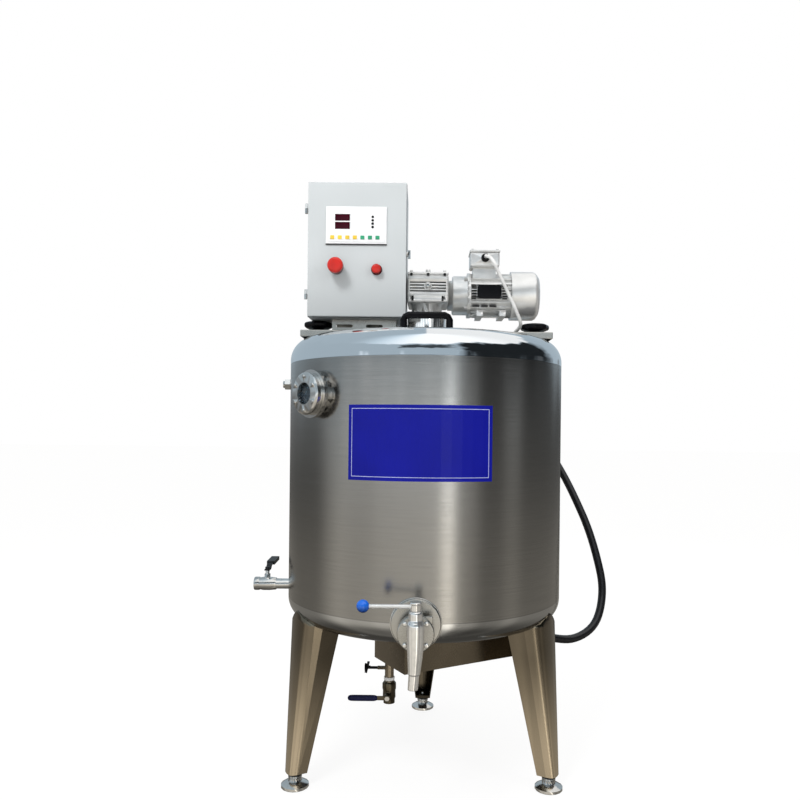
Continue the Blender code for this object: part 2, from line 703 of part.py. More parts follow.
def lid_profile():
    low = TANK_TOP + CLEARANCE
    return [(0, low + LID_WALL + LID_RISE), (LID_RADIUS - 0.002, low + LID_WALL), (LID_RADIUS, low + LID_WALL / 2),
            (LID_RADIUS, low), (MOUTH_RADIUS, low), (0, low + LID_RISE)]


def build_lids():
    wide = 2 * LID_RADIUS
    front = turned("front_lid", lid_profile(), "mirror", steps=FINE)
    cut(front, tool_of("front_lid_room", bar((-wide, LID_FRONT_EDGE, TANK_TOP - 0.1), (wide, wide, TANK_TOP + 0.1))))
    reach = HINGE_HALF - 0.004 - 2 * CLEARANCE
    web_low = HINGE_Z - 0.0065
    fuse(front, tool_of("lid_tube", rod(HINGE_TUBE, 2 * reach, (0, HINGE_Y, HINGE_Z), "X", 20)),
         tool_of("lid_web", bar((-reach, LID_FRONT_EDGE - 0.012, web_low - 0.001), (reach, HINGE_Y - 0.003, HINGE_Z))))
    cut(front, tool_of("lid_tube_bore", rod(HINGE_PIN + CLEARANCE, 2.2 * reach, (0, HINGE_Y, HINGE_Z), "X", 20)))
    rear = turned("rear_lid", lid_profile(), "mirror", steps=FINE)
    cut(rear, tool_of("rear_lid_room", bar((-wide, -wide, TANK_TOP - 0.1),
                                           (wide, BEAM_REAR + CLEARANCE, TANK_TOP + 0.1)),
                      rod(PROBE_RADIUS + CLEARANCE, 0.1, (PROBE_X, PROBE_Y, TANK_TOP), "Z")))
    foot = lid_height(abs(HANDLE_Y)) + CLEARANCE
    rise = foot + HANDLE_HIGH
    path = [(-HANDLE_HALF, foot), (-HANDLE_HALF, rise - 0.012), (-HANDLE_HALF + 0.004, rise - 0.004),
            (-HANDLE_HALF + 0.012, rise)]
    path = path + [(-x, z) for x, z in path[::-1]]
    handle = sweep("lid_handle", [(x, HANDLE_Y, z) for x, z in path], HANDLE_BAR, "black", resolution=3)
    hang("lid_axis", (0, HINGE_Y, HINGE_Z), front, handle)


def lid_height(distance):
    """Top of the lid's cone over the handle's whole foot."""
    near = math.hypot(HANDLE_HALF - HANDLE_BAR, distance - HANDLE_BAR)
    return TANK_TOP + CLEARANCE + LID_WALL + LID_RISE * (1 - near / (LID_RADIUS - 0.002))


def sweep(name, points, radius, look, resolution=2, parent=STAND):
    """A round tube along chosen points, with closed ends."""
    curve = bpy.data.curves.new(name, "CURVE")
    curve.dimensions = "3D"
    curve.bevel_depth = radius
    curve.bevel_resolution = resolution
    curve.use_fill_caps = True
    spline = curve.splines.new("POLY")
    spline.points.add(len(points) - 1)
    for point, place in zip(spline.points, points):
        point.co = (*place, 1)
    obj = bpy.data.objects.new(name, curve)
    if look:
        PARTS.objects.link(obj)
        curve.materials.append(surface(name, look))
    else:
        TOOLS.objects.link(obj)
        obj.hide_render = True
        obj.display_type = "WIRE"
    obj.parent = parent
    return obj


def as_mesh(obj):
    """Replace a curve with its mesh, so that a Boolean can use it."""
    graph = bpy.context.evaluated_depsgraph_get()
    mesh = bpy.data.meshes.new_from_object(obj.evaluated_get(graph))
    bm = bmesh.new()
    bm.from_mesh(mesh)
    bmesh.ops.remove_doubles(bm, verts=bm.verts, dist=0.00001)
    bm.to_mesh(mesh)
    bm.free()
    made = bpy.data.objects.new(obj.name + "_mesh", mesh)
    group = obj.users_collection[0]
    group.objects.link(made)
    made.parent = obj.parent
    made.matrix_world = obj.matrix_world
    made.hide_render = obj.hide_render
    made.display_type = obj.display_type
    name = obj.name
    bpy.data.objects.remove(obj, do_unlink=True)
    made.name = name
    return made


# Agitator drive
def build_drive():
    top = NECK_TOP
    neck = turned("drive_neck", [
        (NECK_RADIUS - NECK_WALL, top), (NECK_FLANGE_RADIUS, top), (NECK_FLANGE_RADIUS, top - NECK_FLANGE),
        (NECK_RADIUS, top - NECK_FLANGE), (NECK_RADIUS, NECK_LOW), (NECK_RADIUS - NECK_WALL, NECK_LOW)],
        "brushed", steps=24)
    lid = turned("neck_plate", [(SHAFT_RADIUS + 0.001, top), (NECK_RADIUS, top),
                                (NECK_RADIUS, top - NECK_FLANGE), (SHAFT_RADIUS + 0.001, top - NECK_FLANGE)])
    bolts = tool_of("neck_bolts", *[rod(0.0045, 0.016, (x, y, top), "Z", 6) for x, y in ring_of(4, 0.0455, 45)])
    fuse(neck, lid, bolts)
    build_gearbox()
    turned("worm_wheel", [
        (SHAFT_RADIUS + CLEARANCE, WORM_Z + 0.024), (HUB_RADIUS, WORM_Z + 0.024),
        (HUB_RADIUS, WORM_Z + WHEEL_WIDTH / 2), (WHEEL_RADIUS - 0.0015, WORM_Z + WHEEL_WIDTH / 2),
        (WHEEL_RADIUS - 0.004, WORM_Z), (WHEEL_RADIUS - 0.0015, WORM_Z - WHEEL_WIDTH / 2),
        (HUB_RADIUS, WORM_Z - WHEEL_WIDTH / 2), (HUB_RADIUS, WORM_Z - 0.024),
        (SHAFT_RADIUS + CLEARANCE, WORM_Z - 0.024)], "bronze", steps=24)
    shaft_top = WORM_Z + 0.024
    turned("agitator_shaft", cylinder(SHAFT_RADIUS, shaft_top, SHAFT_END, 0.002), "brushed", steps=16)
    build_paddles()
    build_motor()


def build_gearbox():
    cover_low = GEAR_TOP - GEAR_COVER
    house = block("gearbox_housing", (GEAR_LEFT, GEAR_FRONT, GEAR_BASE), (GEAR_RIGHT, GEAR_REAR, cover_low - CLEARANCE),
                  "cast", bevel=0.004)
    middle = (GEAR_LEFT + GEAR_RIGHT) / 2
    grooves = [bar((GEAR_LEFT + 0.006, GEAR_FRONT - 0.01, z), (GEAR_RIGHT - 0.006, GEAR_FRONT + 0.005, z + 0.0035))
               for z in (GEAR_BASE + 0.026 + 0.0075 * i for i in range(4))]
    corners = [rod(0.0045, 0.02, (x, GEAR_FRONT, GEAR_BASE + 0.010), "Y", 12)
               for x in (GEAR_LEFT + 0.013, GEAR_RIGHT - 0.013)]
    cut(house, tool_of("gear_grooves", *grooves), tool_of("gear_pockets", *corners))
    flange = tool_of("gear_flange", rod(GEAR_FLANGE_RADIUS, GEAR_FLANGE_HIGH + 0.002,
                                        (0, 0, GEAR_LOW + GEAR_FLANGE_HIGH / 2 + 0.001), "Z", 32))
    plug = tool_of("gear_plug", rod(0.0075, 0.012, (middle, GEAR_FRONT, GEAR_BASE + 0.040), "Y", 16))
    hexagon = tool_of("gear_plug_head", rod(0.0040, 0.020, (middle, GEAR_FRONT - 0.001, GEAR_BASE + 0.040), "Y", 6))
    fuse(house, flange, plug, hexagon)
    worm_hole = WORM_RADIUS + 0.0035
    room = tool_of("gear_room", rod(GEAR_CAVITY, GEAR_HIGH, (0, 0, GEAR_BASE + GEAR_FLOOR + GEAR_HIGH / 2), "Z", 32))
    run = tool_of("worm_room", rod(worm_hole, GEAR_RIGHT + 0.045, (GEAR_RIGHT / 2 - 0.0125, WORM_Y, WORM_Z), "X", 20))
    bore = tool_of("gear_bore", rod(HUB_RADIUS + 0.001, 0.12, (0, 0, GEAR_BASE), "Z", 24))
    cut(house, room, run, bore)
    cover = block("gearbox_cover", (GEAR_LEFT, GEAR_FRONT, cover_low), (GEAR_RIGHT, GEAR_REAR, GEAR_TOP), "cast",
                  bevel=0.003)
    bolts = [rod(0.004, 0.010, (x, y, GEAR_TOP), "Z", 6) for x in (GEAR_LEFT + 0.010, GEAR_RIGHT - 0.010)
             for y in (GEAR_FRONT + 0.010, GEAR_REAR - 0.010)]
    fuse(cover, tool_of("cover_bosses", rod(0.026, 0.012, (0, 0, GEAR_TOP), "Z", 24), *bolts,
                        rod(0.006, 0.014, (middle, GEAR_FRONT + 0.012, GEAR_TOP), "Z", 12)))


def build_paddles():
    """Two pitched blades on one hub; the shaft runs through the hub."""
    hub = turned("agitator_paddles", tube(PADDLE_HUB, SHAFT_RADIUS + CLEARANCE, PADDLE_Z + PADDLE_HUB_HIGH / 2,
                                          PADDLE_Z - PADDLE_HUB_HIGH / 2), "brushed", steps=24)
    length = PADDLE_SPAN - PADDLE_HUB + 0.006
    blades = [brick((length, PADDLE_THICK, PADDLE_WIDTH),
                    (side * (PADDLE_HUB - 0.006 + length / 2), 0, PADDLE_Z), (side * PADDLE_PITCH, 0, 0))
              for side in (-1, 1)]
    fuse(hub, tool_of("paddle_blades", *blades))


def build_motor():
    """Each piece is turned around local Z and laid along X."""
    lay = (0, math.pi / 2, 0)
    axis = (0, WORM_Y, WORM_Z)
    ring_end = RING_START + RING_LENGTH
    bore = ROTOR_SHAFT + 2 * CLEARANCE
    flange = turned("motor_flange", [
        (bore, ring_end), (RING_RADIUS, ring_end), (RING_RADIUS, RING_START), (MOTOR_DRUM, RING_START),
        (MOTOR_DRUM, DRUM_START + DRUM_NOSE + 0.003), (MOTOR_DRUM - 0.003, DRUM_START + DRUM_NOSE),
        (0.040, DRUM_START + DRUM_NOSE), (0.040, DRUM_START), (bore, DRUM_START)], "cast", axis, lay, steps=24)
    fuse(flange, tool_of("flange_bolts", *[
        rod(0.005, 0.012, (RING_START - 0.003, WORM_Y + y, WORM_Z + z), "X", 6)
        for y, z in ring_of(4, 0.0548, 45)]))
    body_end = BODY_START + BODY_LENGTH
    step = math.tau / FINS
    outline = []
    for i in range(FINS):
        for radius, share in ((BODY_RADIUS, -0.5), (BODY_RADIUS, -0.17), (FIN_RADIUS, -0.11), (FIN_RADIUS, 0.11),
                              (BODY_RADIUS, 0.17)):
            angle = step * (i + share)
            outline.append((radius * math.cos(angle), radius * math.sin(angle)))
    body = prism("motor_body", outline, BODY_LENGTH, "cast", (BODY_START + BODY_LENGTH / 2, WORM_Y, WORM_Z), lay)
    middle = (BODY_START + body_end) / 2
    pad_top = TBOX_LOW - CLEARANCE
    lugs = [bar((x - 0.008, WORM_Y - 0.050, WORM_Z - FIN_RADIUS - 0.004),
                (x + 0.008, WORM_Y + 0.050, WORM_Z - FIN_RADIUS + 0.014)) for x in (middle - 0.030, middle + 0.030)]
    fuse(body, tool_of("body_pads", bar((TBOX_LEFT + 0.008, WORM_Y - 0.034, WORM_Z + 0.040),
                                        (TBOX_RIGHT - 0.008, WORM_Y + 0.008, pad_top)), *lugs,
                       bar((middle - 0.030, WORM_Y - FIN_RADIUS - 0.0015, WORM_Z - 0.013),
                           (middle + 0.016, WORM_Y - BODY_RADIUS + 0.006, WORM_Z + 0.021))))
    cut(body, tool_of("body_bore", rod(ROTOR_RADIUS + 0.0015, BODY_LENGTH + 0.02, (middle, WORM_Y, WORM_Z), "X", 24)))
    build_rotor(axis, lay, body_end)
    build_cowl(axis, lay)
    build_terminal_box()


def build_rotor(axis, lay, body_end):
    fan_at = COWL_START + 0.030
    turned("rotor_shaft", [
        (0, fan_at + 0.022), (0.006, fan_at + 0.022), (0.006, body_end - 0.006), (ROTOR_RADIUS, body_end - 0.006),
        (ROTOR_RADIUS, BODY_START + 0.010), (ROTOR_SHAFT, BODY_START + 0.010), (ROTOR_SHAFT, 0.034),
        (WORM_RADIUS, 0.032), (WORM_RADIUS, -0.030), (0, -0.030)], "brushed", axis, lay, steps=20)
    fan = turned("fan", tube(0.016, 0.006 + CLEARANCE, fan_at + 0.018, fan_at), "black", axis, lay, steps=20)
    blades = []
    for i in range(FAN_BLADES):
        angle = math.tau * i / FAN_BLADES
        centre = (fan_at + 0.009, WORM_Y + 0.033 * math.sin(angle), WORM_Z + 0.033 * math.cos(angle))
        blades.append(brick((0.016, 0.003, 2 * (FAN_RADIUS - 0.033)), centre, (-angle, 0, 0)))
    fuse(fan, tool_of("fan_blades", *blades))


def build_cowl(axis, lay):
    end = COWL_START + COWL_LENGTH
    inner = COWL_RADIUS - COWL_WALL
    cowl = turned("fan_cowl", [
        (0, end), (COWL_RADIUS - COWL_CHAMFER, end), (COWL_RADIUS - 0.004, end - 0.007),
        (COWL_RADIUS, end - COWL_CHAMFER), (COWL_RADIUS, COWL_START), (BODY_RADIUS - 0.006, COWL_START),
        (BODY_RADIUS - 0.006, COWL_START + COWL_WALL), (inner, COWL_START + COWL_WALL),
        (inner, end - COWL_CHAMFER), (inner - COWL_CHAMFER + 0.003, end - COWL_WALL), (0, end - COWL_WALL)],
        "cast", axis, lay, steps=24)
    slots = [bar((end - 0.01, WORM_Y - half, WORM_Z + z - 0.002), (end + 0.01, WORM_Y + half, WORM_Z + z + 0.002))
             for z, half in ((-0.032, 0.024), (-0.019, 0.034), (-0.006, 0.038), (0.006, 0.038), (0.019, 0.034),
                             (0.032, 0.024))]
    cut(cowl, tool_of("cowl_slots", *slots))


def build_terminal_box():
    box = block("terminal_box", (TBOX_LEFT, TBOX_FRONT, TBOX_LOW), (TBOX_RIGHT, TBOX_REAR, TBOX_HIGH), "cast",
                bevel=0.004)
    cut(box, tool_of("terminal_room", bar((TBOX_LEFT + 0.004, TBOX_FRONT + 0.004, TBOX_LOW + 0.004),
                                          (TBOX_RIGHT - 0.004, TBOX_REAR - 0.004, TBOX_HIGH + 0.01))))
    gland_end = TBOX_FRONT - 0.016
    fuse(box, tool_of("cable_gland", rod(0.010, 0.012, (GLAND_X, TBOX_FRONT - 0.004, GLAND_Z), "Y", 12)),
         tool_of("gland_neck", rod(0.0075, 0.008, (GLAND_X, gland_end + 0.004, GLAND_Z), "Y", 12)))
    low = TBOX_HIGH + CLEARANCE
    cover = block("terminal_box_cover", (TBOX_LEFT - 0.0015, TBOX_FRONT - 0.0015, low),
                  (TBOX_RIGHT + 0.0015, TBOX_REAR + 0.0015, low + TBOX_COVER), "cast", bevel=0.002)
    screws = [rod(0.0035, 0.006, (x, y, low + TBOX_COVER), "Z", 8)
              for x in (TBOX_LEFT + 0.006, TBOX_RIGHT - 0.006) for y in (TBOX_FRONT + 0.006, TBOX_REAR - 0.006)]
    fuse(cover, tool_of("cover_screws", *screws))


# Control box
def build_control_box():
    rear = DOOR_REAR + CLEARANCE
    box = block("control_box", (BOX_LEFT, rear, BOX_LOW), (BOX_RIGHT, BOX_REAR, BOX_HIGH), "box_paint")
    cut(box, tool_of("box_room", bar((BOX_LEFT + BOX_WALL, rear - 0.01, BOX_LOW + BOX_WALL),
                                     (BOX_RIGHT - BOX_WALL, BOX_REAR - BOX_WALL, BOX_HIGH - BOX_WALL))))
    door = block("control_door", (BOX_LEFT, BOX_FRONT, BOX_LOW), (BOX_RIGHT, DOOR_REAR, BOX_HIGH), "box_paint",
                 bevel=0.002)
    cut(door, tool_of("door_room", bar((BOX_LEFT + BOX_WALL, BOX_FRONT + BOX_WALL, BOX_LOW + BOX_WALL),
                                       (BOX_RIGHT - BOX_WALL, DOOR_REAR + 0.01, BOX_HIGH - BOX_WALL))))
    knuckles = []
    bores = []
    for z in HINGE_HEIGHTS.values():
        middle = z + CLEARANCE + KNUCKLE_HIGH / 2
        knuckles.append(rod(DOOR_BARREL, KNUCKLE_HIGH, (DOOR_AXIS_X, DOOR_AXIS_Y, middle)))
        bores.append(rod(DOOR_PIN + CLEARANCE, 2 * KNUCKLE_HIGH, (DOOR_AXIS_X, DOOR_AXIS_Y, middle), "Z", 12))
    arms = [bar((DOOR_AXIS_X + 0.001, DOOR_AXIS_Y - 0.0032, z + CLEARANCE + 0.001),
                (BOX_LEFT + 0.001, DOOR_AXIS_Y, z + KNUCKLE_HIGH - 0.001)) for z in HINGE_HEIGHTS.values()]
    fuse(door, tool_of("door_knuckles", *knuckles), tool_of("door_arms", *arms))
    holes = [rod(PUSH_BARREL + CLEARANCE, 0.03, (x, BOX_FRONT, z), "Y", 20)
             for x, z in ((STOP_X, STOP_Z), (BUTTON_X, BUTTON_Z))]
    cut(door, tool_of("door_bores", *bores), tool_of("door_holes", *holes,
                                                     rod(LOCK_STEM + CLEARANCE, 0.02, (BOX_RIGHT, DOOR_AXIS_Y, LOCK_Z), "X")))
    for key, z in HINGE_HEIGHTS.items():
        barrel = turned("door_hinge_" + key, cylinder(DOOR_BARREL, z, z - KNUCKLE_HIGH), "chrome",
                        (DOOR_AXIS_X, DOOR_AXIS_Y, 0), steps=16)
        plate = BOX_LEFT - CLEARANCE
        fuse(barrel, tool_of("door_hinge_leaf_" + key, bar((plate - 0.0012, DOOR_AXIS_Y, z - KNUCKLE_HIGH + 0.001),
                                                           (plate, DOOR_REAR + 0.018, z - 0.001))),
             tool_of("door_hinge_bend_" + key,
                             bar((DOOR_AXIS_X, DOOR_AXIS_Y + 0.0015, z - KNUCKLE_HIGH + 0.0015),
                                 (plate - 0.0005, DOOR_AXIS_Y + 0.0035, z - 0.0015))),
             tool_of("door_hinge_pin_" + key, rod(DOOR_PIN, 0.016, (DOOR_AXIS_X, DOOR_AXIS_Y, z + 0.002), "Z", 10)))
    lay = (0, math.pi / 2, 0)
    lock = turned("door_lock", [
        (0, BOX_RIGHT + 0.0045), (0.0062, BOX_RIGHT + 0.0045), (0.0062, BOX_RIGHT + CLEARANCE),
        (LOCK_STEM, BOX_RIGHT + CLEARANCE), (LOCK_STEM, BOX_RIGHT - 0.010), (0, BOX_RIGHT - 0.010)],
        "chrome", (0, DOOR_AXIS_Y, LOCK_Z), lay, steps=16)
    fuse(lock, tool_of("lock_wing", bar((BOX_RIGHT + 0.004, DOOR_AXIS_Y - 0.002, LOCK_Z - 0.0105),
                                        (BOX_RIGHT + 0.0105, DOOR_AXIS_Y + 0.002, LOCK_Z + 0.0105))))
    display = build_display()
    buttons = build_buttons()
    build_bracket()
    fuse_glands(box)
    hang("door_axis", (DOOR_AXIS_X, DOOR_AXIS_Y, 0), door, lock, display, *buttons)


def build_display():
    face = BOX_FRONT - CLEARANCE
    wide, high = SCREEN_WIDE / 2, SCREEN_HIGH / 2
    panel = block("display_panel", (PANEL_X - wide - BEZEL, face - 0.003, PANEL_Z - high - BEZEL),
                  (PANEL_X + wide + BEZEL, face, PANEL_Z + high + BEZEL), "white", bevel=0.0012, segments=1)
    front = face - 0.003
    keys = [bar((PANEL_X - 0.056 + 0.0188 * i - 0.0043, front - 0.0024, PANEL_Z - 0.031 - 0.0043),
                (PANEL_X - 0.056 + 0.0188 * i + 0.0043, front - 0.0008, PANEL_Z - 0.031 + 0.0043)) for i in range(7)]
    lamps = [rod(0.0017, 0.002, (PANEL_X + 0.0444, front - 0.001, PANEL_Z + z), "Y", 8)
             for z in (0.0206, 0.0121, 0.0038, -0.0047)]
    fuse(panel, tool_of("membrane", bar((PANEL_X - wide, front - 0.0012, PANEL_Z - high),
                                        (PANEL_X + wide, front + 0.001, PANEL_Z + high))),
         tool_of("keys", *keys, *lamps))
    cut(panel, tool_of("screens", *[bar((PANEL_X - 0.0485, front - 0.01, PANEL_Z + low),
                                        (PANEL_X - 0.0138, front + 0.0004, PANEL_Z + high_edge))
                                    for low, high_edge in ((0.0110, 0.0265), (-0.0094, 0.0068))]))
    return panel


def build_buttons():
    """Each is turned around local Z, which points out of the door's face."""
    out = facing(0)
    stem, bore = 0.006, 0.006 + 2 * CLEARANCE
    deep = -0.036
    stop_place = (STOP_X, BOX_FRONT, STOP_Z)
    push_place = (BUTTON_X, BOX_FRONT, BUTTON_Z)
    return [
        turned("e_stop_collar", [
            (bore, 0.012), (0.0145, 0.012), (0.0158, 0.010), (0.0158, CLEARANCE), (PUSH_BARREL, CLEARANCE),
            (PUSH_BARREL, deep), (bore, deep)], "red", stop_place, out, steps=20),
        turned("e_stop_button", [
            (0, 0.047), (0.010, 0.046), (STOP_RADIUS - 0.003, 0.043), (STOP_RADIUS, 0.038), (STOP_RADIUS, 0.031),
            (0.014, 0.027), (0.009, 0.0185), (stem, 0.0185), (stem, deep + 0.006), (0, deep + 0.006)],
            "red", stop_place, out, steps=24),
        turned("power_collar", [
            (bore, 0.005), (0.0130, 0.005), (0.0138, 0.004), (0.0138, CLEARANCE), (PUSH_BARREL, CLEARANCE),
            (PUSH_BARREL, deep), (bore, deep)], "red", push_place, out, steps=20),
        turned("power_button", [
            (0, 0.020), (BUTTON_RADIUS - 0.002, 0.0195), (BUTTON_RADIUS, 0.017), (BUTTON_RADIUS, 0.0095),
            (stem, 0.0095), (stem, deep + 0.004), (0, deep + 0.004)], "red", push_place, out, steps=20),
    ]


def build_bracket():
    low, high = BEAM_TOP + CLEARANCE, BOX_LOW - CLEARANCE
    bracket = block("box_bracket", (BRACKET_LEFT, BRACKET_FRONT, low), (BRACKET_RIGHT, BRACKET_REAR, high), "brushed")
    middle = (low + high) / 2
    slots = []
    for x in SLOT_CENTRES:
        half = SLOT_LENGTH / 2 - SLOT_HIGH / 2
        slots.append([(x - half, middle), (x + half, middle)])
    room = tool_of("bracket_room", bar((BRACKET_LEFT - 0.01, BRACKET_FRONT + 0.002, low + 0.002),
                                       (BRACKET_RIGHT + 0.01, BRACKET_REAR - 0.002, high - 0.002)))
    cut(bracket, room)
    for i, ends in enumerate(slots):
        (left, z), (right, _) = ends
        outline = [(left + SLOT_HIGH / 2 * math.cos(a), z + SLOT_HIGH / 2 * math.sin(a))
                   for a in np.linspace(math.pi / 2, 3 * math.pi / 2, 7)]
        outline += [(right + SLOT_HIGH / 2 * math.cos(a), z + SLOT_HIGH / 2 * math.sin(a))
                    for a in np.linspace(-math.pi / 2, math.pi / 2, 7)]
        slot = prism("slot_" + str(i), outline, 0.02, None, (0, BRACKET_FRONT, 0), (math.pi / 2, 0, 0))
        cut(bracket, slot)


def fuse_glands(box):
    """Two cable glands stand on the rear wall of the box."""
    face = BOX_REAR
    fuse(box, tool_of("box_glands", rod(0.018, 0.014, (CONDUIT_X, face + 0.006, GLANDS_Z), "Y", 12),
                      rod(0.010, 0.012, (CABLE_X, face + 0.005, GLANDS_Z), "Y", 12)),
         tool_of("gland_necks", rod(0.015, 0.012, (CONDUIT_X, face + GLAND_OUT - 0.006, GLANDS_Z), "Y", 12),
                 rod(0.0075, 0.014, (CABLE_X, face + GLAND_OUT - 0.007, GLANDS_Z), "Y", 12)))


def hang(name, point, *objs):
    """Parent pieces to an empty that stands on their joint's axis, without moving them."""
    empty = bpy.data.objects.new(name, None)
    PARTS.objects.link(empty)
    empty.location = point
    empty.parent = STAND
    for obj in objs:
        obj.parent = empty
        obj.location = Vector(obj.location) - Vector(point)


# Fittings on the tank's wall
def build_wall_fittings(gauge):
    face = facing(SIGHT_TURN)
    level = (0, 0, SIGHT_Z)
    flange = TANK_RADIUS + 0.014
    glass_low = flange + SIGHT_PLATE + CLEARANCE
    glass_high = glass_low + SIGHT_GLASS
    seat = SIGHT_GLASS_RADIUS + CLEARANCE
    port = turned("sight_port", [
        (SIGHT_BORE, flange + SIGHT_PLATE), (SIGHT_FLANGE, flange + SIGHT_PLATE), (SIGHT_FLANGE, flange),
        (0.046, flange), (0.049, TANK_RADIUS - 0.02), (SIGHT_BORE, TANK_RADIUS - 0.02)], "chrome", level, face, 24)
    cut(port, gauge)
    fuse(port, turned("sight_tube", tube(SIGHT_TUBE, SIGHT_BORE, flange + 0.004, VESSEL_RADIUS - 0.003), None,
                      level, face, 24))
    turned("sight_glass", cylinder(SIGHT_GLASS_RADIUS, glass_high, glass_low), "glass", level, face, 24)
    ring_top = glass_high + 0.011
    ring = turned("sight_ring", [
        (SIGHT_BORE, ring_top), (SIGHT_RING - 0.004, ring_top), (SIGHT_RING, ring_top - 0.004),
        (SIGHT_RING, glass_low), (seat, glass_low), (seat, glass_high + CLEARANCE),
        (SIGHT_BORE, glass_high + CLEARANCE)], "chrome", level, face, 24)
    direction = outward(SIGHT_TURN)
    across = Vector((-direction.y, direction.x, 0))
    heads = [rod(0.0038, 0.007, direction * ring_top + across * a + Vector((0, 0, SIGHT_Z + b)), direction, 8)
             for a, b in ring_of(6, 0.0385, 30)]
    fuse(ring, tool_of("ring_screws", *heads))
    overflow = turned("overflow_fitting", tube(OVERFLOW_PIPE, 0.006, TANK_RADIUS + 0.024, JACKET_RADIUS - 0.004),
                      "chrome", (0, 0, OVERFLOW_Z), facing(SIDE_TURN), 16)
    nut = tool_of("overflow_nut", rod(0.0150, 0.014, (-TANK_RADIUS - 0.012, 0, OVERFLOW_Z), "X", 6))
    fuse(overflow, nut)
    cut(overflow, tool_of("overflow_bore", rod(0.006, 0.08, (-TANK_RADIUS, 0, OVERFLOW_Z), "X", 16)))
    build_inlet()
    build_outlet(gauge)


def build_inlet():
    turned_body = turned("inlet_valve_body", [
        (0.0095, INLET_END), (0.0165, INLET_END), (INLET_BODY, INLET_END - 0.003), (INLET_BODY, INLET_END - 0.012),
        (0.0158, INLET_END - 0.0145), (INLET_BODY, INLET_END - 0.024), (INLET_BODY, INLET_END - 0.040),
        (0.0160, INLET_END - 0.056), (INLET_PIPE, INLET_END - 0.058), (INLET_PIPE, JACKET_RADIUS - 0.004),
        (0.0095, JACKET_RADIUS - 0.004)], "cast", (0, 0, INLET_Z), facing(SIDE_TURN), 16)
    top = INLET_Z + INLET_BODY
    stem = tool_of("inlet_stem", rod(0.0080, 0.012, (-INLET_STEM, 0, top + 0.002), "Z", 6))
    pin = tool_of("inlet_pin", rod(0.0050, 0.024, (-INLET_STEM, 0, top + 0.008), "Z", 12))
    fuse(turned_body, stem, pin)
    hub = top + 0.0205
    outline = [(-0.008, hub - 0.003), (0.012, hub - 0.003), (0.026, hub + 0.006), (0.104, hub + 0.009),
               (0.104, hub + 0.012), (0.025, hub + 0.009), (0.011, hub), (-0.008, hub)]
    lever = prism("inlet_valve_lever", outline, 0.014, "rubber", (0, 0, 0), (math.pi / 2, 0, math.pi / 2))
    lever.location = (-INLET_STEM, 0, 0)
    grip = tool_of("inlet_grip", brick((0.021, 0.066, 0.0095), (-INLET_STEM, 0.073, hub + 0.0100), (0.035, 0, 0)))
    bolt = tool_of("inlet_bolt", rod(0.0065, 0.009, (-INLET_STEM, 0, hub + 0.001), "Z", 6))
    fuse(lever, grip, bolt)
    cut(lever, tool_of("inlet_lever_hole", rod(0.0050 + CLEARANCE, 0.020, (-INLET_STEM, 0, hub - 0.0095), "Z", 12)))


